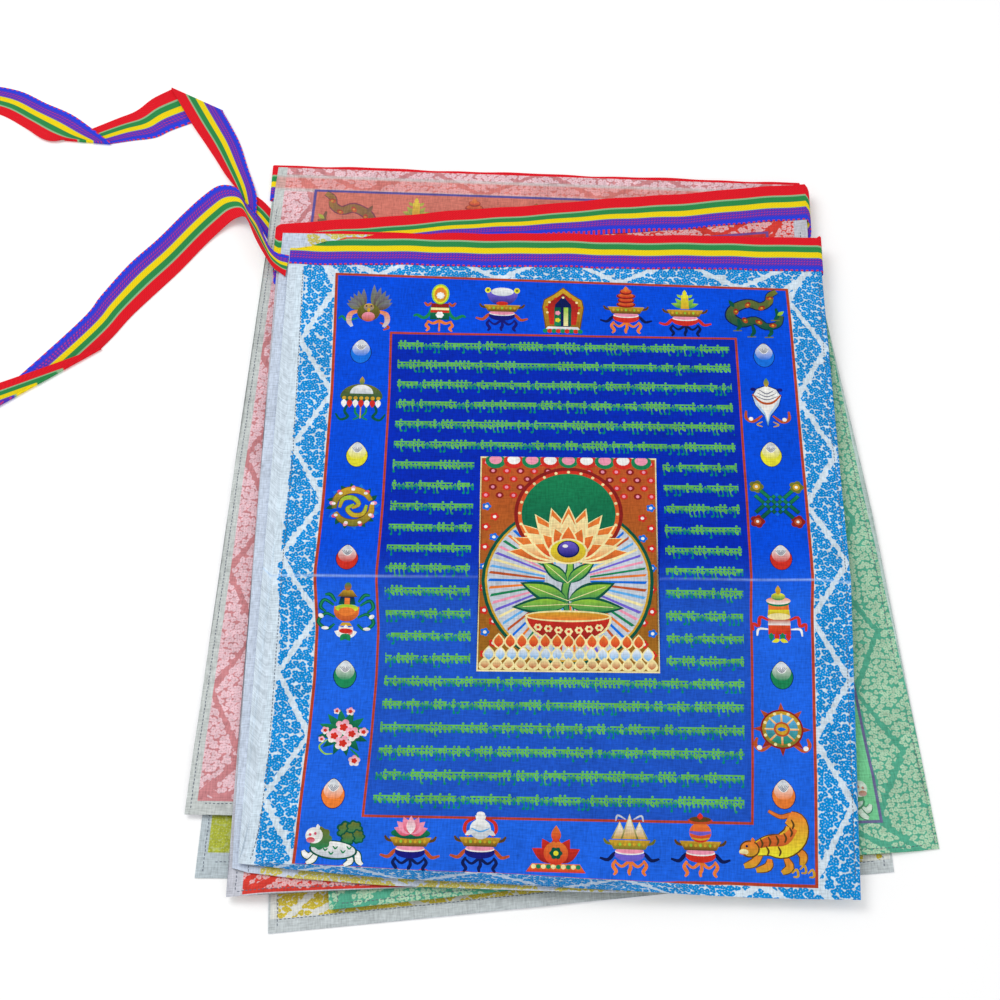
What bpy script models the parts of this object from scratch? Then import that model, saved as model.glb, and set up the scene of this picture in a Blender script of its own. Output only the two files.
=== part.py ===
# Prayer flag string: ten printed flags sewn under one long striped tape, folded
# flag on flag into a stack that lies on a surface, with the tape's two tie ends
# running out to the left. Sizes and places are in millimetres, +Y away from the viewer.
from collections import namedtuple

import bmesh
import bpy
import numpy as np
from mathutils import Vector

MM = 0.001
CLOTH_THICK = 1.0        # a cloth panel and the tape, both with their hems' bulk
LAYER_PITCH = 1.3        # one flag to the next in the stack
GAP = 0.3                # cloth panel to tape, and tape to tie
TAPE_WIDTH = 26.0
TURN_REACH = 3.0         # how far a tape turn stands out past its flags
TURN_STEPS = 3           # rows round a turn or a tie's fold
DRAPE_SLOPE = 0.22       # how steeply cloth comes down off the layers under it
FLAT_FROM = 172.0        # behind this line the tapes keep the stack level
BACK_LINE = 285.0
RIBBON_STEPS = 3         # rows between two named rows of a tie
COPLANAR = 0.0008        # radians, what counts as one flat face

Flag = namedtuple("Flag", "number colour back_left back_right front_right front_left left_bow right_bow")

# From the top of the stack down. Odd flags lie face up, even ones face down.
FLAGS = [
    Flag(1, "blue", (-161, 215), (150, 220), (151, -189), (-160, -188), 1.0, 7.0),
    Flag(2, "white", (-166, 214), (146, 217), (148, -183), (-164, -186), 1.5, 0.0),
    Flag(3, "red", (-168, 219), (144, 260), (146, -172), (-166, -195), 0.0, 0.0),
    Flag(4, "green", (-167, 203), (141, 243), (194, -158), (-114, -200), 0.0, 6.0),
    Flag(5, "yellow", (-167, 206), (142, 236), (150, -168), (-150, -186), 0.0, 0.0),
    Flag(6, "blue", (-168, 222), (143, 240), (146, -166), (-158, -183), 0.0, 0.0),
    Flag(7, "white", (-168, 208), (141, 243), (170, -171), (-144, -212), 0.0, 2.0),
    Flag(8, "red", (-173, 269), (143, 266), (124, -150), (-191, -151), 0.0, 0.0),
    Flag(9, "green", (-175, 268), (140, 262), (136, -146), (-182, -142), 0.0, 0.0),
    Flag(10, "yellow", (-172, 234), (139, 246), (130, -178), (-183, -184), 0.0, 0.0),
]

COLOURS = {
    "blue": (0.010, 0.075, 0.60),
    "white": (0.72, 0.74, 0.70),
    "red": (0.62, 0.13, 0.10),
    "green": (0.15, 0.45, 0.20),
    "yellow": (0.60, 0.52, 0.16),
    "tape": (0.62, 0.04, 0.05),
}

# Where two neighbouring flags' tapes turn, by the upper flag's number.
TURN_X = {1: 149.0, 2: -168.0, 3: 144.0, 4: -167.0, 5: 142.0, 6: -168.0, 7: 142.0, 8: -174.0, 9: 139.0}
FREE_LEFT = {1: -160.7, 10: -172.3}

# The top flag's tape is folded under along its back edge, towards its left end.
FOLD_START_X = -46.0
FOLD_LEFT_WIDTH = 11.0

# Creases and waves: flag, centre, half-widths across and along, height.
Wave = namedtuple("Wave", "flag x y half_x half_y height")
WAVES = [
    Wave(1, 0, -13, 400, 24, 2.2),
    Wave(1, 150, 0, 30, 90, 2.0),
    Wave(1, -158, -58, 26, 60, 1.6),
    Wave(1, 152, -190, 24, 22, 2.5),
    Wave(3, -150, -192, 60, 24, 1.2),
    Wave(4, 176, 10, 34, 40, 2.4),
    Wave(4, 170, -128, 60, 20, 1.6),
    Wave(8, -182, 48, 30, 16, 1.8),
    Wave(8, -178, -128, 40, 18, 1.5),
]

# The top flag's front border lifts past a crease, most at its left end.
CURL_LINE_Y = -181.0
CURL_RISE = 0.55
CURL_FROM_X = 95.0
CURL_FULL_X = -60.0

# The lines of the net from which every panel is cut, close where edges lie.
EDGE_LINES_X = [np.arange(-196, -147, 8), np.arange(138, 203, 8)]
FIELD_LINES_X = [-114, -76, -38, 0, 38, 76, 110]
EDGE_LINES_Y = np.arange(-221, -140, 8)
FIELD_LINES_Y = [-124, -100, -64, -37, -25, -13, -1, 11, 48, 80, 115, 148, FLAT_FROM, BACK_LINE]

# Ties, each a list of stretches between flat folds. A row gives the red edge's
# x, y, z and the blue edge's x, y, z at the tape's mid thickness. A stretch ends
# on the fold line where the next one starts, one layer up or down.
TIE_UPPER = [
    [(-172.6, 234, 0.5, -172.6, 209, 0.5),
     (-184, 246, 0.5, -180, 222, 0.5),
     (-198, 252, 0.5, -184, 233, 0.5)],
    [(-198, 252, 1.8, -184, 233, 1.8),
     (-205, 262, 1.8, -185, 247, 1.8),
     (-212, 274, 1.2, -192, 268, 1.2),
     (-220, 287, 1.0, -198, 286, 1.0),
     (-229, 301, 1.8, -205, 300, 1.8),
     (-244, 328, 1.8, -211, 311, 1.8)],
    [(-244, 328, 0.5, -211, 311, 0.5),
     (-255, 320, 0.5, -239, 297, 0.5),
     (-264, 310, 0.5, -250, 290, 0.5),
     (-276, 303, 0.5, -264, 287, 0.5),
     (-305, 286, 0.5, -277, 284, 0.5)],
    [(-305, 286, 1.8, -277, 284, 1.8),
     (-311, 284, 1.8, -289, 294, 1.8),
     (-319, 286, 1.6, -303, 305, 1.6),
     (-331, 295, 0.7, -320, 315, 0.7),
     (-348, 305, 0.5, -338, 326, 0.5),
     (-368, 308, 0.5, -362, 332, 0.5),
     (-388, 302, 0.5, -388, 327, 0.5)],
]
TIE_LOWER = [
    [(-162.4, 180, 12.2, -161.1, 195, 12.2),
     (-164.4, 182, 12.2, -169, 197, 12.2),
     (-170, 186, 13.4, -174, 203, 12.2),
     (-176, 195, 15.0, -179, 216, 8.6),
     (-181, 204, 16.0, -184, 229, 5.4),
     (-185, 214, 14.0, -191, 239, 3.9),
     (-190, 225, 9.0, -197, 250, 3.8),
     (-197, 226, 4.6, -207, 252, 3.4),
     (-204, 220, 2.0, -216, 246, 1.6),
     (-213, 209, 0.8, -227, 233, 0.6),
     (-226, 190, 0.5, -241, 213, 0.5),
     (-239, 173, 0.5, -256, 194, 0.5),
     (-251, 157, 0.5, -270, 171, 0.5),
     (-259, 144, 0.5, -282, 150, 0.5),
     (-266, 134, 0.5, -336, 81, 0.5)],
    [(-266, 134, 1.8, -336, 81, 1.8),
     (-320, 108, 1.8, -344, 77, 1.8),
     (-345, 98, 1.6, -354, 73, 1.6),
     (-374, 87, 0.6, -364, 63, 0.6)],
]


def clear_scene():
    for old in list(bpy.data.objects):
        bpy.data.objects.remove(old, do_unlink=True)


def cloth_material(name, colour):
    mat = bpy.data.materials.new(name)
    mat.use_nodes = True
    shader = mat.node_tree.nodes["Principled BSDF"]
    shader.inputs["Base Color"].default_value = (*colour, 1.0)
    shader.inputs["Roughness"].default_value = 0.75
    shader.inputs["Metallic"].default_value = 0.0
    return mat


def level(number):
    """Height of a flag's underside where the stack is level."""
    return (len(FLAGS) - number) * LAYER_PITCH


def side_points(start, end, bow):
    """One long side, bowed outwards by its bow at mid length."""
    start, end = np.array(start, float), np.array(end, float)
    along = end - start
    outward = np.array([-along[1], along[0]]) / np.linalg.norm(along)
    share = [0.0, 1 / 3, 2 / 3, 1.0] if bow else [0.0, 1.0]
    return [start + s * along + outward * bow * 4 * s * (1 - s) for s in share]


def outline(flag):
    """The whole flag, tape included, clockwise from its back left corner."""
    right = side_points(flag.back_right, flag.front_right, flag.right_bow)
    left = side_points(flag.front_left, flag.back_left, flag.left_bow)
    return right + left


def tape_edges(flag):
    """The tape's back and front edges, each as a point and a direction."""
    back_left, back_right = np.array(flag.back_left, float), np.array(flag.back_right, float)
    along = (back_right - back_left) / np.linalg.norm(back_right - back_left)
    down = np.array([along[1], -along[0]])
    return (back_left, along), (back_left + down * TAPE_WIDTH, along)


def net_lines():
    xs = np.sort(np.concatenate(EDGE_LINES_X + [FIELD_LINES_X]).astype(float))
    ys = np.sort(np.concatenate([EDGE_LINES_Y, FIELD_LINES_Y]).astype(float))
    return xs, ys


def touches(corners, polygon):
    """Whether a rectangle of the net meets a convex outline, by separating axes."""
    sides = np.roll(polygon, -1, axis=0) - polygon
    axes = np.vstack([np.array([[1.0, 0.0], [0.0, 1.0]]), np.stack([sides[:, 1], -sides[:, 0]], 1)])
    for axis in axes:
        ours, theirs = corners @ axis, polygon @ axis
        if ours.max() < theirs.min() or theirs.max() < ours.min():
            return False
    return True


def near_outline(flag, xs, ys):
    """The net's points that belong to a rectangle which the flag covers or meets."""
    polygon = np.array(outline(flag))
    near = np.zeros((len(xs), len(ys)), bool)
    for i in range(len(xs) - 1):
        for j in range(len(ys) - 1):
            corners = np.array([(x, y) for x in xs[i:i + 2] for y in ys[j:j + 2]])
            if touches(corners, polygon):
                near[i:i + 2, j:j + 2] = True
    return near


def ridge(distance, half_width):
    """A soft ridge's height, 1 on its line and 0 at its half-width."""
    reach = np.clip(np.abs(distance) / half_width, 0.0, 1.0)
    return (1 - reach) ** 2 * (1 + 2 * reach)


def lifts(flag, grid_x, grid_y):
    rise = np.zeros_like(grid_x)
    for wave in WAVES:
        if wave.flag == flag.number:
            rise += wave.height * ridge(grid_x - wave.x, wave.half_x) * ridge(grid_y - wave.y, wave.half_y)
    if flag.number == 1:
        fade = np.clip((CURL_FROM_X - grid_x) / (CURL_FROM_X - CURL_FULL_X), 0.0, 1.0)
        rise += CURL_RISE * fade * np.clip(CURL_LINE_Y - grid_y, 0.0, None)
    return np.where(grid_y < FLAT_FROM, rise, 0.0)


def drape(support, grid_x, grid_y):
    """The lowest surface over the support that is no steeper than the cloth's slope."""
    flat_x, flat_y = grid_x.ravel(), grid_y.ravel()
    apart = np.hypot(flat_x[:, None] - flat_x[None, :], flat_y[:, None] - flat_y[None, :])
    tent = support.ravel()[None, :] - DRAPE_SLOPE * apart
    return tent.max(axis=1).reshape(support.shape)


def flag_heights(xs, ys):
    """Each flag's underside over the net, laid down from the lowest flag up."""
    grid_x, grid_y = np.meshgrid(xs, ys, indexing="ij")
    support = np.zeros_like(grid_x)
    heights = {}
    for flag in reversed(FLAGS):
        held = np.where(grid_y >= FLAT_FROM, level(flag.number), support)
        under = drape(held, grid_x, grid_y) + lifts(flag, grid_x, grid_y)
        under = np.where(grid_y >= FLAT_FROM, level(flag.number), under)
        heights[flag.number] = under
        near = near_outline(flag, xs, ys)
        support = np.where(near, np.maximum(support, under + LAYER_PITCH), support)
    return heights


def keep_inside(bm, point, outward):
    bmesh.ops.bisect_plane(
        bm, geom=bm.verts[:] + bm.edges[:] + bm.faces[:], dist=0.001,
        plane_co=Vector((point[0], point[1], 0)), plane_no=Vector((outward[0], outward[1], 0)),
        clear_outer=True)


def add_object(name, bm, mat, collection):
    bmesh.ops.scale(bm, vec=(MM, MM, MM), verts=bm.verts)
    mesh = bpy.data.meshes.new(name)
    bm.to_mesh(mesh)
    bm.free()
    mesh.materials.append(mat)
    obj = bpy.data.objects.new(name, mesh)
    collection.objects.link(obj)
    return obj


def make_panel(flag, xs, ys, heights, collection):
    """A flag's cloth: the draped net cut to the flag's outline and given its thickness."""
    bm = bmesh.new()
    columns, rows = len(xs) - 1, len(ys) - 1
    bmesh.ops.create_grid(bm, x_segments=columns, y_segments=rows, size=1.0)
    for vert in bm.verts:
        i = round((vert.co.x + 1) / 2 * columns)
        j = round((vert.co.y + 1) / 2 * rows)
        vert.co = (xs[i], ys[j], heights[i, j])
    bmesh.ops.triangulate(bm, faces=bm.faces[:], quad_method="FIXED")
    corners = outline(flag)
    for here, ahead in zip(corners, corners[1:] + corners[:1]):
        side = ahead - here
        keep_inside(bm, here, (-side[1], side[0]))
    point, along = tape_edges(flag)[1]
    up = np.array([-along[1], along[0]])
    keep_inside(bm, point - up * GAP, up)
    bmesh.ops.dissolve_limit(bm, angle_limit=COPLANAR, verts=bm.verts[:], edges=bm.edges[:])
    raised = bmesh.ops.extrude_face_region(bm, geom=bm.faces[:], use_keep_orig=True)["geom"]
    top = [item for item in raised if isinstance(item, bmesh.types.BMVert)]
    bmesh.ops.translate(bm, verts=top, vec=(0, 0, CLOTH_THICK))
    bmesh.ops.recalc_face_normals(bm, faces=bm.faces[:])
    name = f"flag_{flag.number:02d}"
    return add_object(name, bm, cloth_material(name, COLOURS[flag.colour]), collection)


def turn_rows(line, outward, z_from, z_to, steps):
    """Rows round a half turn from one layer to the next, about the line where both end."""
    middle, radius = (z_from + z_to) / 2, abs(z_to - z_from) / 2
    sense = 1.0 if z_to > z_from else -1.0
    first, last = np.array(line[0], float), np.array(line[1], float)
    across = last - first
    start_normal = np.cross(across, outward)
    start_normal /= np.linalg.norm(start_normal)
    side_normal = np.cross(across, (0, 0, sense))
    side_normal /= np.linalg.norm(side_normal)
    rows = []
    for step in range(1, steps + 1):
        angle = np.pi * step / (steps + 1)
        shift = outward * radius * np.sin(angle)
        height = middle - sense * radius * np.cos(angle)
        ends = [np.array([end[0], end[1], height]) + shift for end in (first, last)]
        rows.append((ends[0], ends[1], start_normal * np.cos(angle) + side_normal * np.sin(angle)))
    return rows


def loft(rows):
    """A ribbon of the cloth's thickness through rows of two edge points and a normal."""
    bm = bmesh.new()
    rings = []
    for first, last, normal in rows:
        half = np.array(normal) * CLOTH_THICK / 2
        ring = [first + half, last + half, last - half, first - half]
        rings.append([bm.verts.new(point) for point in ring])
    for here, ahead in zip(rings, rings[1:]):
        for k in range(4):
            after = (k + 1) % 4
            bm.faces.new((here[k], here[after], ahead[after], ahead[k]))
    bm.faces.new(rings[0][::-1])
    bm.faces.new(rings[-1])
    if bm.calc_volume(signed=True) < 0:
        bmesh.ops.reverse_faces(bm, faces=bm.faces[:])
    return bm


def on_line(edge, x):
    point, along = edge
    return point[1] + (x - point[0]) * along[1] / along[0]


def tape_row(flag, x):
    """The tape's back and front points at one x, at mid thickness."""
    back, front = tape_edges(flag)
    back_y, front_y = on_line(back, x), on_line(front, x)
    if flag.number == 1 and x < FOLD_START_X:
        share = (FOLD_START_X - x) / (FOLD_START_X - FREE_LEFT[1])
        back_y -= share * (TAPE_WIDTH - FOLD_LEFT_WIDTH)
    height = level(flag.number) + CLOTH_THICK / 2
    return np.array([x, back_y, height]), np.array([x, front_y, height])


def make_header_tape(collection):
    """The long tape, one back-and-forth ribbon through all the flags' heads."""
    rows = []
    heading = 1.0
    reach = TURN_REACH - LAYER_PITCH / 2
    for flag in FLAGS:
        left = FREE_LEFT.get(flag.number, TURN_X.get(flag.number if heading < 0 else flag.number - 1))
        right = TURN_X.get(flag.number if heading > 0 else flag.number - 1)
        places = [left, right]
        if flag.number == 1:
            places.insert(1, FOLD_START_X)
        places = places if heading > 0 else places[::-1]
        normal = np.array([0, 0, heading])
        rows += [(*tape_row(flag, x), normal) for x in places]
        if flag.number < len(FLAGS):
            rows += tape_turn(flag, FLAGS[flag.number], heading, reach)
        heading = -heading
    add_object("header_tape", loft(rows), cloth_material("header_tape", COLOURS["tape"]), collection)


def tape_turn(upper, lower, heading, reach):
    """The tape's turn past one end of two flags, slanting from one's head to the other's."""
    x = TURN_X[upper.number]
    outward = np.array([heading, 0.0, 0.0])
    above, below = tape_row(upper, x), tape_row(lower, x)
    out = outward * reach
    rows = [(above[0] + out, above[1] + out, np.array([0, 0, heading]))]
    z_from, z_to = above[0][2], below[0][2]
    line = [(above[k] + below[k]) / 2 + out for k in (0, 1)]
    for step, row in enumerate(turn_rows(line, outward, z_from, z_to, TURN_STEPS), 1):
        share = step / (TURN_STEPS + 1) - 0.5
        slant = [np.array([0.0, (below[k][1] - above[k][1]) * share, 0.0]) for k in (0, 1)]
        flat_normal = row[2] * np.array([1, 0, 1])
        rows.append((row[0] + slant[0], row[1] + slant[1], flat_normal / np.linalg.norm(flat_normal)))
    rows.append((below[0] + out, below[1] + out, np.array([0, 0, -heading])))
    return rows


def smooth_rows(table):
    """Rows on a smooth curve through a stretch's named rows."""
    points = np.array(table, float)
    padded = np.vstack([2 * points[0] - points[1], points, 2 * points[-1] - points[-2]])
    smooth = []
    for k in range(1, len(padded) - 2):
        before, here, ahead, after = padded[k - 1:k + 3]
        for t in np.arange(RIBBON_STEPS) / RIBBON_STEPS:
            smooth.append(0.5 * (2 * here + (ahead - before) * t
                                 + (2 * before - 5 * here + 4 * ahead - after) * t ** 2
                                 + (3 * here - before - 3 * ahead + after) * t ** 3))
    smooth = np.array(smooth + [points[-1]])
    for height in (2, 5):
        smooth[:, height] = np.maximum(smooth[:, height], CLOTH_THICK / 2)
    return smooth


def stretch_rows(table):
    """A stretch's rows with their normals."""
    points = smooth_rows(table)
    red, blue = points[:, :3], points[:, 3:]
    travel = np.gradient((red + blue) / 2, axis=0)
    normals = np.cross(blue - red, travel)
    normals /= np.linalg.norm(normals, axis=1, keepdims=True)
    return [(red[k], blue[k], normals[k]) for k in range(len(points))]


def make_tie(name, stretches, collection):
    """A tie end: its stretches lofted as one ribbon, with a half turn at each flat fold."""
    rows = []
    for number, table in enumerate(stretches):
        if number:
            fold = stretches[number - 1][-1]
            line = (fold[:3], fold[3:])
            before = np.mean([rows[-1][0], rows[-1][1]], axis=0) - np.mean([rows[-4][0], rows[-4][1]], axis=0)
            across = np.array(line[1]) - np.array(line[0])
            outward = np.array([across[1], -across[0], 0.0])
            outward *= np.sign(outward @ before) / np.linalg.norm(outward)
            rows += turn_rows(line, outward, fold[2], table[0][2], TURN_STEPS)
        rows += stretch_rows(table)
    add_object(name, loft(rows), cloth_material(name, COLOURS["tape"]), collection)


def centre_on_base(collection):
    """Put the origin at the middle of the whole part's base."""
    corners = np.array([v.co[:] for obj in collection.objects for v in obj.data.vertices])
    low, high = corners.min(axis=0), corners.max(axis=0)
    shift = Vector((-(low[0] + high[0]) / 2, -(low[1] + high[1]) / 2, -low[2]))
    for obj in collection.objects:
        for vert in obj.data.vertices:
            vert.co += shift
    print("centred by", [round(value, 6) for value in shift], "size", [round(v, 6) for v in high - low])


def main():
    clear_scene()
    collection = bpy.data.collections.new("prayer_flag_string")
    bpy.context.scene.collection.children.link(collection)
    xs, ys = net_lines()
    heights = flag_heights(xs, ys)
    for flag in FLAGS:
        make_panel(flag, xs, ys, heights[flag.number], collection)
    make_header_tape(collection)
    make_tie("tie_upper", TIE_UPPER, collection)
    make_tie("tie_lower", TIE_LOWER, collection)
    centre_on_base(collection)


main()
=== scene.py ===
# Folded string of printed prayer flags: cloth, print, tape, ties and stitching
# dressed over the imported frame. Places are in millimetres about the middle of the
# top flag's print, heights from the floor; the helper called place turns them into metres.
import math

import bpy
import numpy as np
from mathutils import Matrix, Vector, geometry, noise
from mathutils.bvhtree import BVHTree


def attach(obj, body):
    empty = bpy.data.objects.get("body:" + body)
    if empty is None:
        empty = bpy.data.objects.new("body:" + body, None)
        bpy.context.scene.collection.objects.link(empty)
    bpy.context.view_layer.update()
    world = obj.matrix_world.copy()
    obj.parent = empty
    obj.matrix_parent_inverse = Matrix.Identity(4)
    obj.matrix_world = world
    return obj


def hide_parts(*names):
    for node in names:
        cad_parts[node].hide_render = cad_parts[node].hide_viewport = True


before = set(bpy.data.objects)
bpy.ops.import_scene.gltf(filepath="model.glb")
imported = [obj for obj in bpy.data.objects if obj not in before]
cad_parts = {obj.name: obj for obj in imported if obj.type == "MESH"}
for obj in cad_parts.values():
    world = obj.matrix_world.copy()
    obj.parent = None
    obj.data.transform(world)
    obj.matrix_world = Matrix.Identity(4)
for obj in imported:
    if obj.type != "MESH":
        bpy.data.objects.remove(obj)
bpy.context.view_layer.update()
origin = {"x": 97.0, "y": -60.0, "mm": 0.001}


def place(points):
    moved = np.array(points, float).reshape(-1, 3) + (origin["x"], origin["y"], 0.0)
    return moved * origin["mm"]


def ink(red, green, blue):  # a colour as the eye reads it, made linear: for print, dye and tape, and also for the painted sheen, highlight and shade
    parts = [channel / 255 for channel in (red, green, blue)]
    return tuple(c / 12.92 if c <= 0.04045 else ((c + 0.055) / 1.055) ** 2.4 for c in parts)


def calc(tree, operation, *values):
    node = tree.nodes.new("ShaderNodeMath")
    node.operation = operation
    for socket, value in zip(node.inputs, values):
        if isinstance(value, (int, float)):
            socket.default_value = value
        else:
            tree.links.new(value, socket)
    return node.outputs[0]


def chain(tree, operation, values):
    result = values[0]
    for value in values[1:]:
        result = calc(tree, operation, result, value)
    return result


def blendColour(tree, factor, first, second, mode="MIX"):
    node = tree.nodes.new("ShaderNodeMix")
    node.data_type = "RGBA"
    node.blend_type = mode
    for name, value in (("Factor_Float", factor), ("A_Color", first), ("B_Color", second)):
        socket = next(s for s in node.inputs if s.identifier == name)
        if isinstance(value, (int, float)):
            socket.default_value = value
        elif isinstance(value, tuple):
            socket.default_value = (*value[:3], 1.0)
        else:
            tree.links.new(value, socket)
    return next(s for s in node.outputs if s.identifier == "Result_Color")


def stepUp(tree, value, edge, soft=0.12):
    node = tree.nodes.new("ShaderNodeMapRange")
    node.interpolation_type = "SMOOTHSTEP"
    node.inputs["From Min"].default_value = edge - soft
    node.inputs["From Max"].default_value = edge + soft
    tree.links.new(value, node.inputs["Value"])
    return node.outputs["Result"]


def newGroup(name, inputs, outputs):
    tree = bpy.data.node_groups.new(name, "ShaderNodeTree")
    for direction, sockets in (("INPUT", inputs), ("OUTPUT", outputs)):
        for label, kind, value in sockets:
            socket = tree.interface.new_socket(name=label, in_out=direction, socket_type=kind)
            if value is not None:
                socket.default_value = value
    return tree, tree.nodes.new("NodeGroupInput").outputs, tree.nodes.new("NodeGroupOutput").inputs


def useGroup(tree, group, values):
    node = tree.nodes.new("ShaderNodeGroup")
    node.node_tree = group
    for label, value in values.items():
        if isinstance(value, (int, float)):
            node.inputs[label].default_value = value
        elif isinstance(value, tuple):
            node.inputs[label].default_value = (*value[:3], 1.0)
        else:
            tree.links.new(value, node.inputs[label])
    return node.outputs


floatSocket = "NodeSocketFloat"
vectorSocket = "NodeSocketVector"


def printPlace(tree):  # millimetres across and along the flag, from the cloth's UV map
    uv = tree.nodes.new("ShaderNodeUVMap")
    uv.uv_map = "print"
    scale = tree.nodes.new("ShaderNodeMapping")
    scale.inputs["Scale"].default_value = (1000, 1000, 1000)
    tree.links.new(uv.outputs["UV"], scale.inputs["Vector"])
    split = tree.nodes.new("ShaderNodeSeparateXYZ")
    tree.links.new(scale.outputs["Vector"], split.inputs["Vector"])
    return scale.outputs["Vector"], split.outputs["X"], split.outputs["Y"]


# The printed sheet's layout, the same on every flag.
printLayout = {
    "fieldX": 131.0, "fieldY": 181.4, "frameLine": 0.8,
    "innerX": 98.7, "innerY": 147.75, "innerMid": -4.3, "innerLine": 0.65,
    "laceWidth": 19.3, "latticePeriod": 70.0, "latticeStart": 103.0, "latticeBand": 1.45, "latticeMitre": 2.4,
    "flower": 2.6, "petalFrom": 1.12, "petalBy": 0.6, "rowTop": 134.9, "rowPitch": 13.22, "rowCount": 22, "rowReach": 94.5,
    "pictureX": 48.3, "pictureY": 65.9, "pictureMid": -3.9, "pictureSide": 1.9,
}


# The printed sheet's cut, which a flag's corners are set on.
sheetCut = {"left": -155.0, "right": 155.0, "back": 214.0, "front": -203.0}


def laceGroup():  # small four-petalled flowers that leave out a zigzag lattice
    lay = printLayout
    tree, given, result = newGroup(
        "flowerLace",
        [("Place", vectorSocket, None), ("Petal Size", floatSocket, 1.0), ("Left Reach", floatSocket, 0.0),
         ("Right Reach", floatSocket, 0.0)],
        [("Flower", floatSocket, None), ("Heart", floatSocket, None)])
    cells = tree.nodes.new("ShaderNodeTexVoronoi")
    cells.voronoi_dimensions = "2D"
    cells.inputs["Scale"].default_value = 1 / lay["flower"]
    cells.inputs["Randomness"].default_value = 0.72
    tree.links.new(given["Place"], cells.inputs["Vector"])
    offset = tree.nodes.new("ShaderNodeVectorMath")
    offset.operation = "SUBTRACT"
    tree.links.new(given["Place"], offset.inputs[0])
    tree.links.new(cells.outputs["Position"], offset.inputs[1])
    away = tree.nodes.new("ShaderNodeSeparateXYZ")
    tree.links.new(offset.outputs[0], away.inputs[0])
    turn = tree.nodes.new("ShaderNodeSeparateColor")
    tree.links.new(cells.outputs["Color"], turn.inputs[0])
    angle = calc(tree, "ARCTAN2", away.outputs["Y"], away.outputs["X"])
    spun = calc(tree, "MULTIPLY_ADD", turn.outputs["Red"], 1.6, angle)
    petal = calc(tree, "ABSOLUTE", calc(tree, "COSINE", calc(tree, "MULTIPLY", spun, 1.5)))
    reach = calc(tree, "MULTIPLY", calc(tree, "MULTIPLY_ADD", petal, lay["petalBy"], lay["petalFrom"]), given["Petal Size"])
    distance = calc(tree, "MULTIPLY", cells.outputs["Distance"], lay["flower"])
    inside = stepUp(tree, calc(tree, "SUBTRACT", reach, distance), 0.0, 0.18)
    heart = stepUp(tree, calc(tree, "SUBTRACT", 0.24, distance), 0.0, 0.15)
    between = tree.nodes.new("ShaderNodeVectorMath")
    between.operation = "MULTIPLY_ADD"
    between.inputs[1].default_value = (-0.5, -0.5, 0.0)
    tree.links.new(offset.outputs[0], between.inputs[0])
    tree.links.new(given["Place"], between.inputs[2])
    spot = tree.nodes.new("ShaderNodeSeparateXYZ")
    tree.links.new(between.outputs[0], spot.inputs[0])
    acrossX = calc(tree, "SUBTRACT", calc(tree, "ABSOLUTE", spot.outputs["X"]), lay["fieldX"])
    acrossY = calc(tree, "SUBTRACT", calc(tree, "ABSOLUTE", spot.outputs["Y"]), lay["fieldY"])
    onSide = calc(tree, "GREATER_THAN", acrossX, acrossY)
    along = calc(tree, "ADD", calc(tree, "MULTIPLY", onSide, spot.outputs["Y"]),
                 calc(tree, "MULTIPLY", calc(tree, "SUBTRACT", 1.0, onSide), spot.outputs["X"]))
    across = calc(tree, "MAXIMUM", acrossX, acrossY)
    turned = calc(tree, "DIVIDE", calc(tree, "SUBTRACT", along, lay["latticeStart"]), lay["latticePeriod"])
    zigzag = calc(tree, "MULTIPLY", calc(tree, "PINGPONG", turned, 0.5), 2 * lay["laceWidth"])
    gap = calc(tree, "MULTIPLY", calc(tree, "ABSOLUTE", calc(tree, "SUBTRACT", across, zigzag)), 0.86)
    offLattice = calc(tree, "GREATER_THAN", gap, lay["latticeBand"])
    mitre = calc(tree, "GREATER_THAN", calc(tree, "ABSOLUTE", calc(tree, "SUBTRACT", acrossX, acrossY)),
                 lay["latticeMitre"])
    onRight = calc(tree, "GREATER_THAN", spot.outputs["X"], 0.0)
    more = calc(tree, "MULTIPLY_ADD", onRight, calc(tree, "SUBTRACT", given["Right Reach"], given["Left Reach"]),
                given["Left Reach"])
    limit = calc(tree, "MULTIPLY_ADD", onSide, more, lay["laceWidth"])
    within = calc(tree, "MULTIPLY", calc(tree, "LESS_THAN", across, limit),
                  calc(tree, "GREATER_THAN", across, 1.0))
    shown = chain(tree, "MULTIPLY", [inside, offLattice, mitre, within])
    tree.links.new(shown, result["Flower"])
    tree.links.new(calc(tree, "MULTIPLY", heart, shown), result["Heart"])
    return tree


# One bud of the running vine: its pitch, a ring, a stem, and a hanging tail on some of them.
vineBud = {"step": 2.35, "ring": 0.82, "ringLine": 0.36, "stem": 0.34, "foot": -1.5, "tail": -3.9, "tails": 0.7, "bar": 2.1, "barHalf": 0.44, "gap": 0.1}


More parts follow.
